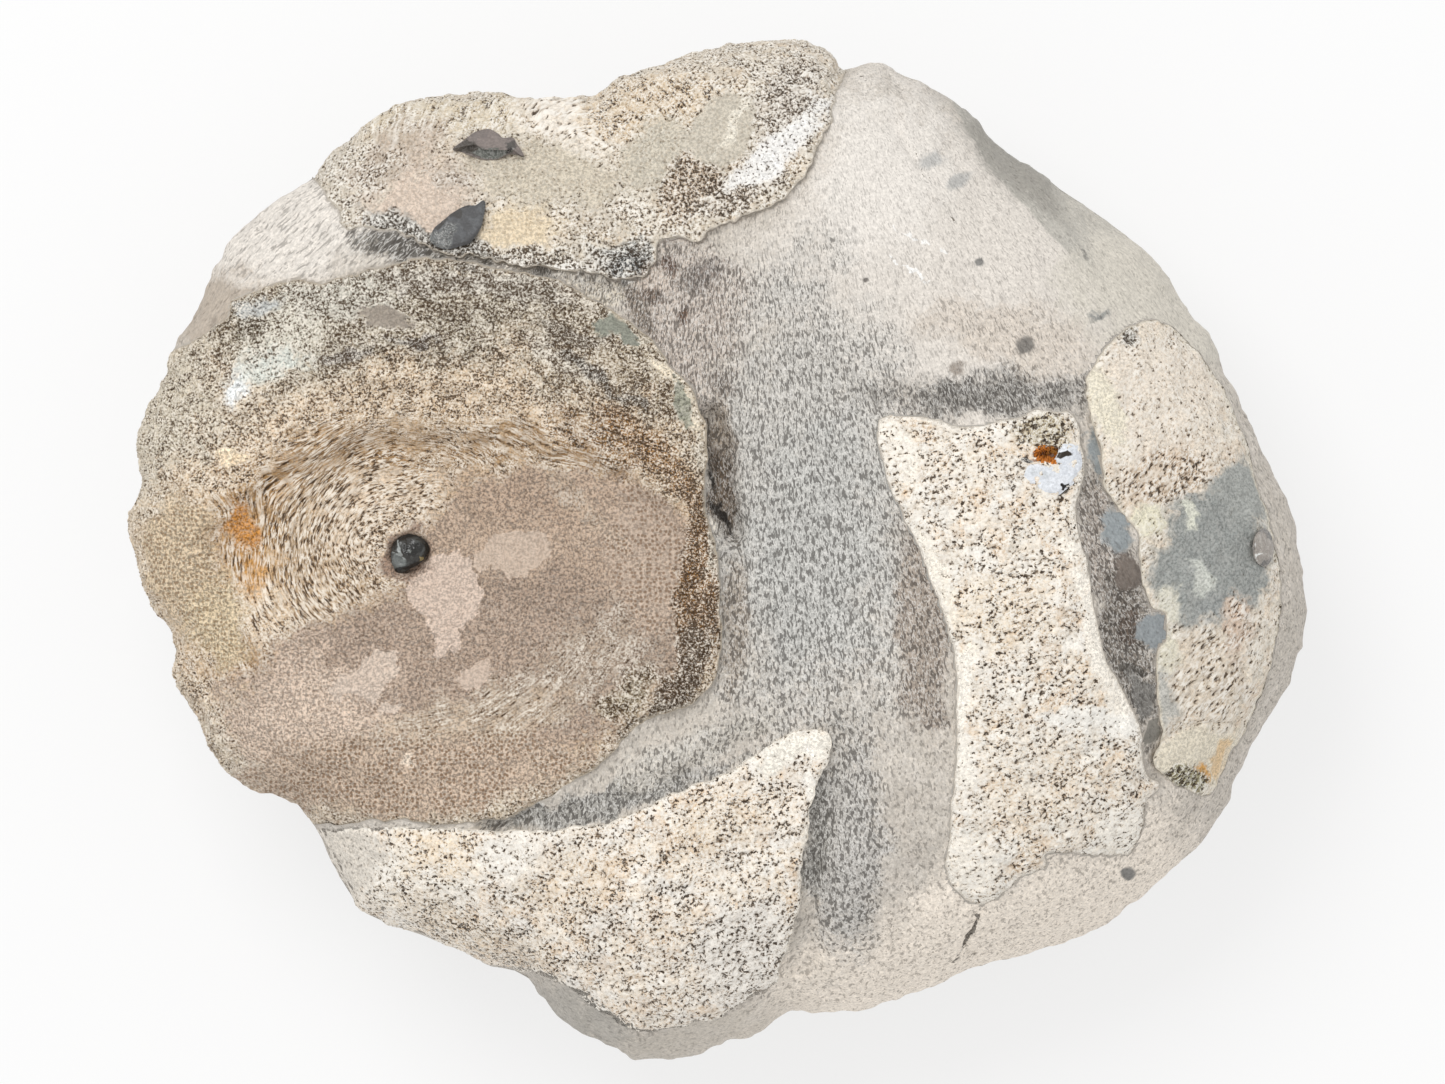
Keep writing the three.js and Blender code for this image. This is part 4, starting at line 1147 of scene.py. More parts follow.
MATRIX_PATCHES = [
    Patch(25, 27, 22, 17, -30, 0.5, (222, 215, 206), 0.2),
    Patch(17, 38, 6, 9, -20, 0.6, (228, 222, 214), 0.15),
    Patch(9, 4, 11, 23, 0, 0.5, (194, 190, 183), 0.65),
    Patch(10, 0, 6, 12, 0, 0.7, (184, 184, 180), 0.7, strength=0.7),
    # darker charcoal band above the middle vertebra: partly the mud's own colour, partly painted shade of
    # the step there
    Patch(26.5, 15.6, 11, 2.2, 2, 0.6, (138, 134, 128), 0.75),
    Patch(-44, 31, 12, 5, 40, 0.35, (222, 215, 206), 0.3),
    Patch(-49, 23, 5, 5, 50, 0.4, (182, 170, 156), 0.2),
    Patch(28, -40, 26, 9, 22, 0.5, (241, 230, 216), 0.3),
    Patch(30, 21.5, 9, 3, -10, 0.6, (206, 193, 178), 0.4, strength=0.6),
    Patch(-3, 23, 6, 9, 0, 0.5, (186, 174, 163), 0.8),
    Patch(-4.5, 28.2, 0.8, 1.5, 8, 0.5, (112, 92, 80), 0.9),
    Patch(-28.6, 29.6, 6.0, 1.3, -13, 0.6, (124, 119, 111), 1.0),
    Patch(-16, 27.6, 8, 1.2, -8, 0.6, (166, 158, 146), 1.1),
    *SEAM_PATCHES,
    Patch(-3.2, 22.9, 1.0, 1.1, 0, 0.5, (112, 92, 78), 0.9),
    Patch(-1.0, 27.2, 2.2, 1.5, 30, 0.6, (136, 126, 118), 0.8),
    Patch(-6.0, 24.8, 1.0, 0.8, 0, 0.6, (126, 110, 98), 0.8),
    Patch(0.2, 16.8, 1.4, 2.4, 0, 0.6, (150, 140, 130), 0.8),
    Patch(12.5, -29, 4.6, 9.5, 8, 0.5, (180, 176, 170), 0.7),
    # dark grey strip along the lower vertebra's right edge, where the mud lies lower: partly the mud's grey,
    # partly painted shade
    Patch(10.0, -27.5, 1.3, 7, -6, 0.5, (142, 139, 133), 0.7),
    # brown-grey band in the hollow beside the middle vertebra's left side: partly brown stain, partly
    # painted shade of the recess
    Patch(20.5, -8, 2.6, 11, 6, 0.4, (164, 152, 140), 0.6),
    # painted shade: the next four patches, dark brown and near-black, stand for the shadow in the deep
    # crevice right of the round vertebra's rim
    Patch(0.6, 7.6, 1.6, 5.4, 7, 0.5, (106, 92, 78), 0.9),
    Patch(1.0, 6.0, 0.9, 2.4, 18, 0.6, (122, 108, 93), 0.7),
    Patch(-0.5, 6.9, 0.38, 1.5, 22, 0.5, (36, 30, 25), 0.1, uneven=0.15),
    Patch(0.9, 3.3, 0.38, 1.6, 26, 0.5, (40, 34, 29), 0.1, uneven=0.15),
    Patch(-0.5, 3.4, 0.35, 1.8, 18, 0.5, (222, 214, 202), 0.5, uneven=0.15),
    Patch(0.6, 12.6, 1.1, 2.8, 10, 0.6, (168, 156, 142), 0.7),
    Patch(1.6, -8, 1.2, 7, 0, 0.6, (166, 156, 144), 0.6),
    Patch(40, -6, 2.8, 13, 10, 0.5, (126, 118, 109), 0.7),
    Patch(37.9, 0.3, 1.5, 6, 2, 0.5, (166, 156, 146), 0.8),
    Patch(37.7, 10.3, 0.9, 2.6, 8, 0.35, (150, 156, 158), 0.1, gloss=0.4),
    Patch(40.2, 2.2, 1.8, 2.4, 0, 0.3, (146, 152, 154), 0.1, gloss=0.4),
    Patch(40.8, -2.2, 1.4, 2.0, 5, 0.3, (116, 106, 98), 0.15, rise=0.3),
    Patch(41, -7.4, 1.0, 2.1, 8, 0.4, (100, 88, 78), 0.5),
    Patch(43.5, -7.8, 1.4, 1.7, 0, 0.25, (146, 151, 153), 0.1, gloss=0.4, rise=0.3),
    Patch(41.5, -12.2, 1.4, 0.5, 0, 0.4, (92, 87, 80), 0.3),
    Patch(42, -14.8, 1.3, 2.1, 15, 0.4, (118, 115, 110), 0.3),
    Patch(43.1, -17.7, 0.9, 0.9, 0, 0.3, (130, 126, 118), 0.1, rise=0.3),
    Patch(33.9, 42.0, 28, 7.2, -53, 0.04, (190, 186, 177), 0.1, uneven=0.0),
    Patch(27.6, 41.4, 8.5, 1.9, -49, 0.9, (160, 156, 148), 0.1, strength=0.9, uneven=0.0),
    Patch(32.8, 35.4, 4.5, 0.9, -52, 0.9, (158, 154, 146), 0.1, strength=0.7, uneven=0.0),
    Patch(43, 26.6, 9.5, 7.0, -50, 0.6, (213, 207, 195), 0.08),
    Patch(38.6, 23.4, 1.0, 0.7, 0, 0.6, (150, 150, 146), 0.3),
    Patch(36.4, 30.4, 2.2, 0.35, -52, 0.6, (150, 147, 140), 0.3),
    Patch(-14.6, -46.4, 6.5, 2.2, -24, 0.9, (160, 157, 150), 0.1, strength=0.6),
    Patch(-1, -48.2, 8, 2.0, 12, 0.9, (197, 189, 177), 0.1, strength=0.6),
    Patch(25.5, -37.6, 2.0, 0.14, 65, 0.4, (112, 104, 94)),
    Patch(19, 40.3, 2.9, 0.12, -58, 0.4, (124, 116, 106)),
    Patch(19.4, 31.4, 1.8, 0.12, -24, 0.4, (244, 242, 238)),
    Patch(18.6, 28.4, 1.6, 0.12, -37, 0.4, (242, 240, 236)),
    # dark grey line along the groove between the round and the lower vertebrae: partly the grey mud, partly
    # painted shade in the groove
    Patch(-12, -24.9, 14, 1.4, 14, 0.5, (150, 147, 141), 0.7),
    Patch(-1.5, -19.5, 9, 1.6, 24, 0.6, (200, 194, 184), 0.5),
    Patch(26.2, 28.8, 0.5, 0.4, 0, 0.5, (136, 134, 130), 0.2, uneven=0.05),
    Patch(14.8, 27.0, 0.4, 0.3, 0, 0.5, (120, 114, 108), 0.2, uneven=0.05),
    Patch(30.8, 20.5, 1.0, 0.9, 20, 0.4, (126, 121, 115), 0.2, uneven=0.05),
    Patch(23.6, 18.2, 1.1, 0.8, 0, 0.5, (158, 148, 138), 0.3),
    Patch(24.1, 36.9, 1.2, 0.6, 30, 0.6, (186, 184, 180), uneven=0.05),
    Patch(21.3, 39.0, 1.4, 0.8, 20, 0.6, (192, 190, 186), uneven=0.05),
    Patch(41.2, -32.3, 0.7, 0.6, 0, 0.4, (130, 128, 124), 0.2, uneven=0.05),
]


def matrix_flow(x, y, z):
    """Fibres that fan out from far above the cobble. Those at the upper left run across instead."""
    heading = np.arctan2(x, 85 - y)
    away = np.hypot(x, 85 - y)
    across = np.where(x < -20, (x - y) * 2.4, heading * 330)
    along = np.where(x < -20, (x + y) * 0.6, away * 1.4)
    return across, along, z * 2.5


def matrix_face(x, y, z):
    z = risen(grooved(z, x, y, MATRIX_GROOVES), x, y, MATRIX_PATCHES)
    for loop in (round_loop, upper_loop, lower_loop, middle_loop, right_loop):
        near = abs(x - loop[:, 0].mean()) < np.ptp(loop[:, 0])
        near &= abs(y - loop[:, 1].mean()) < np.ptp(loop[:, 1])
        gap = np.full(len(x), 9.0)
        gap[near] = loop_distance(loop, x[near], y[near])
        z = z - 0.05 * np.exp(-((gap / 0.4) ** 2))
    return z


matrix_fields = fields_for(matrix_flow, MATRIX_BASE, MATRIX_PATCHES)


def under_side(across, up):
    heading, out = fold(across, up)
    turn = np.pi / 2 * (1 - out)
    edge = np.interp(heading, even_turn, edge_radius, period=2 * np.pi)
    low = widest_level(edge, heading)
    spread = np.cos(turn).clip(0) ** (2 / UNDER_PLAN)
    drop = np.sin(turn) ** (2 / UNDER_RISE)
    level = (low - (low + UNDERSIDE_SINK) * drop).clip(0)
    return edge * spread * np.cos(heading), edge * spread * np.sin(heading), level


def cobble_block():
    lines = np.linspace(-1, 1, TOP_LINES)
    across, up = np.meshgrid(lines, lines, indexing="ij")
    x, y, z = (side.ravel() for side in worn_top(across, up, 0))
    top = np.column_stack([x, y, matrix_face(x, y, z)])
    lines = np.linspace(-1, 1, UNDER_LINES)[1:-1]
    across, up = np.meshgrid(lines, lines, indexing="ij")
    under = np.column_stack([side.ravel() for side in under_side(across, up)])
    upper_edge = grid_border(TOP_LINES, TOP_LINES)
    count = UNDER_LINES - 2
    lower_edge = grid_border(count, count) + len(top)
    faces = grid_faces(TOP_LINES, TOP_LINES).tolist()
    faces += (grid_faces(count, count)[:, ::-1] + len(top)).tolist()
    ratio = (TOP_LINES - 1) // (UNDER_LINES - 1)
    # the seam: each side of the finer border meets a side of the coarser one
    per_top = TOP_LINES - 1
    per_low = count - 1
    n_top, n_low = len(upper_edge), len(lower_edge)
    for side in range(4):
        for k in range(UNDER_LINES - 1):
            start = side * per_top + k * ratio
            outer = [upper_edge[(start + i) % n_top] for i in range(ratio + 1)]
            a = min(max(k - 1, 0), per_low)
            b = min(k, per_low)
            inner = [lower_edge[(side * per_low + b) % n_low]]
            if a != b:
                inner.append(lower_edge[(side * per_low + a) % n_low])
            faces.append([int(i) for i in outer[::-1]] + [int(i) for i in inner[::-1]])
    points = np.concatenate([top, under])
    return mesh_object("cobble_block", points, faces, matrix_fields(points, np.full(len(points), 9.0)))


def stone_group():
    """Hardened mud: fine grain, with dark and pale fibres where it is open."""
    given = [
        ("Rest", "Vector", None),
        ("Flow", "Vector", None),
        ("Open", "Float", 0.3),
        ("Gloss", "Float", 0.0),
        ("Grain", "Float", 1.0),
        ("Tint", "Color", (0.6, 0.5, 0.4, 1)),
    ]
    returned = [("Colour", "Color"), ("Height", "Float"), ("Roughness", "Float")]
    tree, size, out = node_group("fibrous_mudstone", "ShaderNodeTree", given, returned)
    fibre = noise(tree, size["Flow"], 1.0, 1.0, "Color", 0.75)
    fibre = put(tree, "ShaderNodeSeparateXYZ", fibre).node.outputs
    fine = noise(tree, size["Rest"], 3.8, 1.0, roughness=0.75)
    strength = maths(tree, "MULTIPLY", between(tree, size["Open"], 0.1, 0.7, 0.05, 1.0), size["Grain"])
    shade = between(tree, fibre["Z"], 0.32, 0.68, 0.78, 1.18)
    shade = maths(tree, "MULTIPLY", between(tree, fine, 0.32, 0.68, 0.72, 1.24), shade)
    shade = mixed_value(tree, between(tree, strength, 0.0, 1.0, 0.36, 1.0), 1.0, shade)
    shade = put(tree, "ShaderNodeCombineXYZ", shade, shade, shade)
    colour = mixed(tree, 1.0, size["Tint"], shade, "MULTIPLY")
    sparse = maths(tree, "MULTIPLY_ADD", strength, -0.06, maths(tree, "ADD", fibre["X"], 0.06))
    dark = between(tree, strength, 0.0, 0.7, 0.32, 0.85)
    dark = maths(tree, "MULTIPLY", between(tree, sparse, 0.47, 0.40), dark)
    dark = maths(tree, "MULTIPLY", dark, size["Grain"])
    ridge = maths(tree, "ABSOLUTE", maths(tree, "SUBTRACT", fibre["Y"], 0.5))
    light = maths(tree, "MULTIPLY", strength, 0.75)
    light = maths(tree, "MULTIPLY", between(tree, ridge, 0.07, 0.015), light)
    colour = mixed(tree, light, colour, mixed(tree, 0.6, size["Tint"], paint(250, 247, 242)))
    colour = mixed(tree, dark, colour, mixed(tree, 0.75, size["Tint"], paint(56, 50, 44)))
    connect(tree, colour, out["Colour"])
    height = maths(tree, "SUBTRACT", maths(tree, "MULTIPLY", light, 0.6), dark)
    connect(tree, maths(tree, "ADD", height, maths(tree, "MULTIPLY", fine, 0.6)), out["Height"])
    dull = between(tree, fine, 0.3, 0.7, 0.65, 0.9)
    connect(tree, mixed_value(tree, size["Gloss"], dull, 0.15), out["Roughness"])
    return tree


STONE = stone_group()


def stone_finish(name, base, mottles, patches, grain=1.0):
    """The material of hardened mud: its tint by place, its fibres, and its polish."""
    finish = new_finish(name, shine=0.35)
    tree = finish.node_tree
    stone = use_group(
        tree, STONE, rest=attribute(tree, "rest", "Vector"), flow=attribute(tree, "flow", "Vector"),
        open=attribute(tree, "open"), gloss=attribute(tree, "gloss"), grain=grain,
        tint=tinted(tree, base, mottles, patches),
    )
    lay_on(finish, stone, bump_height=0.12 * MM)
    return finish


matrix_finish = stone_finish("mudstone_matrix", (202, 194, 183), MATRIX_MOTTLES, MATRIX_PATCHES)
block = cobble_block()
add_nodes(block, WORN_RELIEF, finish=matrix_finish, pore_depth=0.12, lump_height=0.12)
spaces = (round_space, upper_space, lower_space, middle_space, right_space)
for space in spaces:
    cut(block, space, "DIFFERENCE")
matrix_stone = finished(block, "cobble_matrix", matrix_finish)
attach(matrix_stone, "root")
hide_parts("matrix_stone")

# ---------------------------------------------------------------------------------------------------
# The plug of the notochord pit: dark glassy calcite and mud that filled the hole through the middle of
# the round vertebra, with pale veins across it.
# ---------------------------------------------------------------------------------------------------
PLUG_OUTLINE = [
    (-30.5, 1.7), (-29.65, 1.45), (-28.95, 0.95), (-28.7, 0.4), (-28.95, -0.5), (-29.65, -1.3),
    (-30.9, -1.95), (-32.0, -2.45), (-32.4, -1.45), (-32.5, -0.3), (-32.1, 0.8), (-31.3, 1.5),
]
PLUG_TOP = 35.5
PLUG_BASE = dict(open=0.1, drawn=0.0, pins=0.0, gloss=0.75)
PLUG_MOTTLES = [((78, 80, 78), 0.8, 0.6)]
PLUG_PATCHES = [
    Patch(-29.6, 0.4, 0.9, 1.2, 0, 0.3, (24, 23, 20), 0.0, gloss=0.95),
    Patch(-31.7, -1.0, 0.9, 0.9, 0, 0.4, (98, 102, 100), 0.3, gloss=0.5),
    Patch(-31.1, 0.9, 0.1, 0.9, -6, 0.5, (150, 154, 152), rise=0.1),
    Patch(-30.9, -0.4, 1.1, 0.09, -18, 0.5, (140, 144, 142), rise=0.1),
    Patch(-29.9, -0.2, 0.09, 0.5, 24, 0.5, (120, 124, 120), rise=0.1),
    Patch(-29.0, -0.9, 0.9, 0.12, 50, 0.5, (140, 124, 84)),
    Patch(-30.4, -1.8, 1.6, 0.22, 22, 0.5, (22, 20, 18)),
]


def even_flow(x, y, z):
    return x * 3.0, y * 3.0, z * 3.0


def plug_face(x, y, z, rim):
    away = np.hypot(x + 30.6, y + 0.2)
    dome = PLUG_TOP - 0.12 * away**2 + 0.25 * mottle(x, y, 0.9, 51)
    return risen(dome, x, y, PLUG_PATCHES) - worn_edge(rim, 0.25, 0.25)


plug_fields = fields_for(even_flow, PLUG_BASE, PLUG_PATCHES)
plug_finish = stone_finish("glassy_plug", (44, 42, 39), PLUG_MOTTLES, PLUG_PATCHES, grain=0.4)
plug_finish.node_tree.nodes["Principled BSDF"].inputs["Coat Weight"].default_value = 0.3
plug_loop = ragged(smooth_loop(PLUG_OUTLINE, 0.08), 0.05, 16)
worn_piece(
    "notochord_plug_fill", "notochord_plug", "mudstone", plug_loop, floor=33, lift=0, spacing=0.08,
    face=plug_face, fields_of=plug_fields, finish=plug_finish,
    swell_height=0.0, lump_height=0.02, pore_depth=0.05,
)

# ---------------------------------------------------------------------------------------------------
# Two chips of dark mudstone that sank into the hollow of the upper vertebra: a thin slab with a steep
# broken face, and a wedge that runs down into the grey streak between the bones.
# ---------------------------------------------------------------------------------------------------
SLAB_OUTLINE = [
    (-26.3, 40.1), (-25.2, 41.0), (-24.2, 41.8), (-22.8, 42.1), (-21.8, 41.65), (-21.3, 41.2),
    (-20.3, 41.2), (-19.85, 40.55), (-19.2, 39.4), (-20.6, 39.6), (-21.8, 39.1), (-23.0, 39.0),
    (-24.5, 39.4), (-25.5, 39.8),
]
SLAB_EDGE = [(-26.3, 40.1), (-24.2, 40.6), (-23.4, 40.1), (-21.6, 40.1), (-20.3, 40.1), (-19.2, 39.4)]
WEDGE_OUTLINE = [
    (-23.15, 34.9), (-24.0, 34.4), (-24.9, 34.4), (-26.1, 33.8), (-27.15, 33.0), (-28.15, 32.2),
    (-28.6, 30.9), (-27.3, 30.1), (-25.85, 30.3), (-24.45, 30.8), (-23.45, 32.2), (-23.15, 33.6),
]
CHIP_BASE = dict(open=0.12, drawn=0.0, pins=0.0, gloss=0.2)
SLAB_PATCHES = [
    # partly painted shade: this patch and the next darken the slab's steep broken lower face, over the
    # chip's own dark colour
    Patch(-24.2, 39.7, 1.9, 0.7, -12, 0.2, (78, 72, 66), 0.3),
    Patch(-21.9, 39.5, 1.9, 0.55, 6, 0.25, (104, 106, 100), 0.5),
    Patch(-20.0, 40.2, 0.9, 0.5, -50, 0.3, (88, 84, 80)),
    # partly painted shade on the broken lower face, over the chip's own dark colour
    Patch(-20.1, 39.7, 0.7, 0.2, -35, 0.4, (60, 56, 54)),
]
WEDGE_PATCHES = [
    Patch(-27.2, 30.9, 1.9, 1.1, 30, 0.4, (112, 114, 113), 0.6),
    Patch(-25.6, 33.6, 2.6, 0.25, 28, 0.5, (72, 70, 68)),
]


def slab_face(x, y, z, rim):
    edge_x, edge_y = np.array(SLAB_EDGE).T
    below = np.interp(x, edge_x, edge_y) - y
    top = z + 1.1 - 0.12 * np.abs(below) - worn_edge(rim, 0.25, 0.2)
    return np.where(below > 0, top - 0.75 * ramp(below, 0.0, 0.35), top)


slab_fields = fields_for(even_flow, CHIP_BASE, SLAB_PATCHES)


def wedge_face(x, y, z, rim):
    return z + 0.5 * ramp(y, 30.2, 33.2) + 0.15 - worn_edge(rim, 0.3, 0.2)


wedge_fields = fields_for(even_flow, CHIP_BASE, WEDGE_PATCHES)


SLAB_MOTTLES = [((118, 110, 106), 1.5, 0.6)]
WEDGE_MOTTLES = [((104, 106, 108), 1.0, 0.6)]
slab_finish = stone_finish("brown_mudstone_chip", (132, 122, 117), SLAB_MOTTLES, SLAB_PATCHES, grain=0.5)
wedge_finish = stone_finish("dark_mudstone_chip", (84, 84, 85), WEDGE_MOTTLES, WEDGE_PATCHES, grain=0.6)
CHIP_RELIEF = dict(lump_height=0.04, lump_size=0.8, pore_depth=0.05)


def hollow_surface(face):
    """A chip's face over the hollow that it lies in, rather than over the cobble's plain top."""
    return lambda x, y, z, rim: face(x, y, upper_face(x, y, z, np.full(len(x), 9.0)), rim)


slab_loop = ragged(smooth_loop(SLAB_OUTLINE, 0.08), 0.04, 17)
wedge_loop = ragged(smooth_loop(WEDGE_OUTLINE, 0.08), 0.05, 18)
worn_piece(
    "slab_chip", "mudstone_chip_upper", "mudstone", slab_loop, floor=36, lift=0.5, spacing=0.09,
    face=hollow_surface(slab_face), fields_of=slab_fields, finish=slab_finish, **CHIP_RELIEF,
)
worn_piece(
    "wedge_chip", "mudstone_chip_lower", "mudstone", wedge_loop, floor=38, lift=0.5, spacing=0.09,
    face=hollow_surface(wedge_face), fields_of=wedge_fields, finish=wedge_finish, **CHIP_RELIEF,
)

# ---------------------------------------------------------------------------------------------------
# The calcite crust at the corner of the middle vertebra: smooth white calcite round a small open hole,
# whose far wall is set with rusty crystals.
# ---------------------------------------------------------------------------------------------------
CRUST_OUTLINE = [
    (30.6, 8.0), (30.8, 8.8), (31.8, 8.9), (32.6, 8.7), (33.5, 9.0), (34.0, 9.7), (34.2, 10.8), (34.9, 11.0),
    (35.8, 10.7), (36.3, 9.7), (36.4, 8.5), (35.9, 7.5), (35.6, 6.7), (34.9, 6.2), (33.9, 5.5), (32.8, 5.7),
    (31.6, 6.4), (30.8, 7.2),
]
CRUST_BASE = dict(open=0.0, drawn=0.0, pins=0.0, gloss=0.6)
CRUST_PATCHES = [
    Patch(31.9, 7.2, 1.2, 0.8, -20, 0.6, (212, 216, 220)),
    Patch(35.8, 9.0, 0.5, 1.6, 0, 0.5, (216, 220, 226)),
    Patch(34.2, 6.1, 0.6, 0.35, -30, 0.2, (20, 18, 16)),
    Patch(31.7, 8.7, 0.2, 0.3, 0, 0.4, (24, 20, 16)),
    Patch(34.6, 9.5, 0.5, 0.3, 30, 0.4, (48, 40, 30)),
]


def crust_face(x, y, z, rim):
    return z + 0.1 + 0.12 * mottle(x, y, 1.2, 52) - worn_edge(rim, 0.25, 0.25)


crust_fields = fields_for(even_flow, CRUST_BASE, CRUST_PATCHES)
CRUST_MOTTLES = [((214, 219, 226), 1.2, 0.7)]
crust_finish = stone_finish("white_calcite", (226, 229, 234), CRUST_MOTTLES, CRUST_PATCHES, grain=0.15)
crust_finish.node_tree.nodes["Bump"].inputs["Strength"].default_value = 0.15
crust_loop = ragged(smooth_loop(CRUST_OUTLINE, 0.08), 0.04, 19)
worn_piece(
    "calcite_skin", "calcite_crust", "calcite", crust_loop, floor=40, lift=0.6, spacing=0.08,
    face=crust_face, fields_of=crust_fields, finish=crust_finish,
    lump_height=0.04, lump_size=0.7, pore_depth=0.0,
)

# ---------------------------------------------------------------------------------------------------
# The rusty crystals in the hole beside the crust: little pointed crystals of calcite, stained by iron,
# that grew on the floor and the walls of the hole, each at its own angle.
# ---------------------------------------------------------------------------------------------------
HOLE_AT, HOLE_HALF, HOLE_TURN = (33.0, 9.6), (1.5, 0.9), math.radians(-12)
HOLE_RINGS, HOLE_SPOKES = 7, 28
CRYSTAL_BASE = dict(open=0.0, drawn=0.0, pins=0.0, gloss=0.7)
CRYSTAL_PATCHES = [
    Patch(33.6, 10.1, 1.0, 0.5, -10, 0.6, (226, 168, 92)),
    Patch(31.8, 9.3, 0.5, 0.6, 0, 0.6, (70, 44, 24)),
]


def hole_floor():
    """A disc that lies on the floor of the hole, found by dropping points on to the bone."""
    bone = bpy.data.objects["middle_vertebra"].data
    bone_top = BVHTree.FromPolygons([v.co for v in bone.vertices], [p.vertices for p in bone.polygons])
    points = []
    for ring in range(1, HOLE_RINGS + 1):
        for spoke in range(HOLE_SPOKES):
            heading = math.tau * spoke / HOLE_SPOKES
            along = HOLE_HALF[0] * ring / HOLE_RINGS * math.cos(heading)
            beside = HOLE_HALF[1] * ring / HOLE_RINGS * math.sin(heading)
            x = HOLE_AT[0] + along * math.cos(HOLE_TURN) - beside * math.sin(HOLE_TURN)
            y = HOLE_AT[1] + along * math.sin(HOLE_TURN) + beside * math.cos(HOLE_TURN)
            level = bone_top.ray_cast(Vector((x * MM, y * MM, 1)), Vector((0, 0, -1)))[0].z / MM
            points.append((x, y, level))
    index = np.arange(len(points)).reshape(HOLE_RINGS, HOLE_SPOKES)
    ahead = np.roll(index, -1, 1)
    faces = np.stack([index[:-1], index[1:], ahead[1:], ahead[:-1]], -1).reshape(-1, 4).tolist()
    faces.append(index[0].tolist())
    points = np.array(points)
    fields = surface_fields(points, even_flow, CRYSTAL_BASE, CRYSTAL_PATCHES, np.zeros(len(points)))
    return mesh_object("hole_floor", points, faces, fields)


def crystal_tree():
    """Geometry nodes that set pointed crystals all over a surface, at random angles and sizes."""
    given = [
        ("Geometry", "Geometry", None),
        ("Crystals Per Square Metre", "Float", 2.4e7),
        ("Crystal Width", "Float", 0.34 * MM),
        ("Crystal Height", "Float", 0.5 * MM),
        ("Sides", "Int", 5),
        ("Seed", "Int", 4),
        ("Finish", "Material", None),
    ]
    tree, size, out = node_group("crystal_scatter", "GeometryNodeTree", given, [("Geometry", "Geometry")])
    scatter = tree.nodes.new("GeometryNodeDistributePointsOnFaces")
    connect(tree, size["Geometry"], scatter.inputs["Mesh"])
    connect(tree, size["Crystals Per Square Metre"], scatter.inputs["Density"])
    connect(tree, size["Seed"], scatter.inputs["Seed"])
    crystal = tree.nodes.new("GeometryNodeMeshCone")
    connect(tree, size["Sides"], crystal.inputs["Vertices"])
    connect(tree, maths(tree, "MULTIPLY", size["Crystal Width"], 0.5), crystal.inputs["Radius Bottom"])
    connect(tree, size["Crystal Height"], crystal.inputs["Depth"])
    lean = tree.nodes.new("FunctionNodeRandomValue")
    lean.data_type = "FLOAT_VECTOR"
    lean.inputs["Min"].default_value = (-0.6, -0.6, -3.0)
    lean.inputs["Max"].default_value = (0.6, 0.6, 3.0)
    connect(tree, size["Seed"], lean.inputs["Seed"])
    turned = tree.nodes.new("FunctionNodeRotateRotation")
    turned.rotation_space = "LOCAL"
    connect(tree, scatter.outputs["Rotation"], turned.inputs["Rotation"])
    connect(tree, lean.outputs["Value"], turned.inputs["Rotate By"])
    share = tree.nodes.new("FunctionNodeRandomValue")
    share.data_type = "FLOAT"
    floats = [socket for socket in share.inputs if socket.type == "VALUE"]
    floats[0].default_value = 0.45
    floats[1].default_value = 1.1
    connect(tree, size["Seed"], share.inputs["Seed"])
    many = tree.nodes.new("GeometryNodeInstanceOnPoints")
    connect(tree, scatter.outputs["Points"], many.inputs["Points"])
    connect(tree, crystal.outputs["Mesh"], many.inputs["Instance"])
    connect(tree, turned.outputs["Rotation"], many.inputs["Rotation"])
    connect(tree, [socket for socket in share.outputs if socket.type == "VALUE"][0], many.inputs["Scale"])
    real = put(tree, "GeometryNodeRealizeInstances", many.outputs["Instances"])
    finish = tree.nodes.new("GeometryNodeSetMaterial")
    connect(tree, real, finish.inputs["Geometry"])
    connect(tree, size["Finish"], finish.inputs["Material"])
    connect(tree, finish.outputs["Geometry"], out["Geometry"])
    return tree


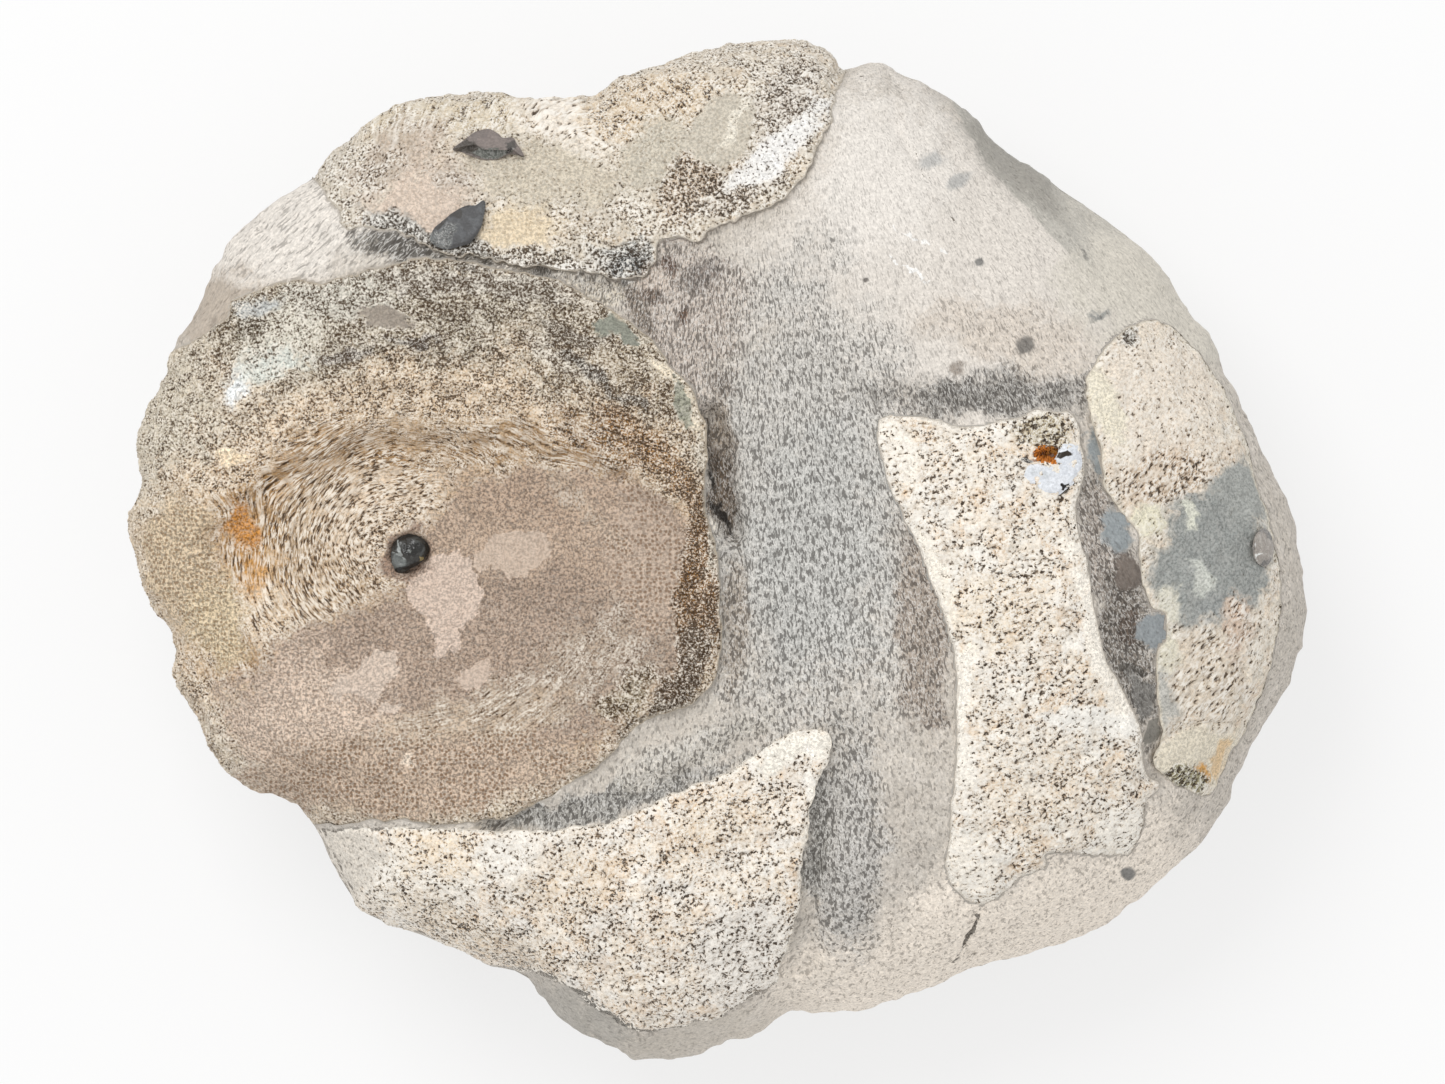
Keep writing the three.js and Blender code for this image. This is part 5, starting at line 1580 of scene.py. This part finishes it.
CRYSTAL_MOTTLES = [((120, 66, 26), 0.5, 0.8)]
crystal_finish = stone_finish("rusty_calcite", (204, 124, 44), CRYSTAL_MOTTLES, CRYSTAL_PATCHES, grain=0.3)
crystal_bed = hole_floor()
add_nodes(crystal_bed, crystal_tree(), finish=crystal_finish)
rusty_crystals = finished(crystal_bed, "rusty_crystals", crystal_finish)
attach(rusty_crystals, "root")

# ---------------------------------------------------------------------------------------------------
# The nodule on the flank of the right vertebra: a small glassy knob that stands out of the blue-grey
# patch.
# ---------------------------------------------------------------------------------------------------
NODULE_OUTLINE = [
    (54.65, 2.3), (55.4, 1.7), (55.75, 0.4), (55.5, -0.9), (54.8, -1.6), (53.9, -1.0), (53.55, 0.3),
    (53.8, 1.5),
]
NODULE_BASE = dict(open=0.1, drawn=0.0, pins=0.0, gloss=0.8)
NODULE_PATCHES = [
    Patch(54.65, 0.37, 1.5, 2.3, 0, 0.2, (92, 90, 88), hole=0.75),
    # painted highlights: the next two small white patches are glints on the glassy knob
    Patch(54.2, 0.7, 0.22, 0.5, 20, 0.4, (240, 240, 238), rise=0.1),
    Patch(54.3, -0.6, 0.2, 0.3, 0, 0.4, (226, 226, 222)),
]


def nodule_face(x, y, z, rim):
    inside = (1 - ((x - 54.65) / 1.3) ** 2 - ((y - 0.37) / 2.2) ** 2).clip(0)
    return z + 0.9 * np.sqrt(inside) + 0.1 * mottle(x, y, 0.6, 53)


nodule_fields = fields_for(even_flow, NODULE_BASE, NODULE_PATCHES)
NODULE_MOTTLES = [((186, 180, 172), 0.7, 0.7)]
nodule_finish = stone_finish("glassy_nodule", (152, 144, 136), NODULE_MOTTLES, NODULE_PATCHES, grain=0.4)
nodule_finish.node_tree.nodes["Principled BSDF"].inputs["Coat Weight"].default_value = 0.5
nodule_loop = ragged(smooth_loop(NODULE_OUTLINE, 0.08), 0.04, 20)
worn_piece(
    "flank_nodule", "nodule_right", "nodule", nodule_loop, floor=24, lift=0.4, spacing=0.09,
    face=nodule_face, fields_of=nodule_fields, finish=nodule_finish,
    lump_height=0.03, lump_size=0.6, pore_depth=0.0,
)

for tool in [thing for thing in bpy.data.objects if thing.name.endswith("_space")]:
    bpy.data.objects.remove(tool)
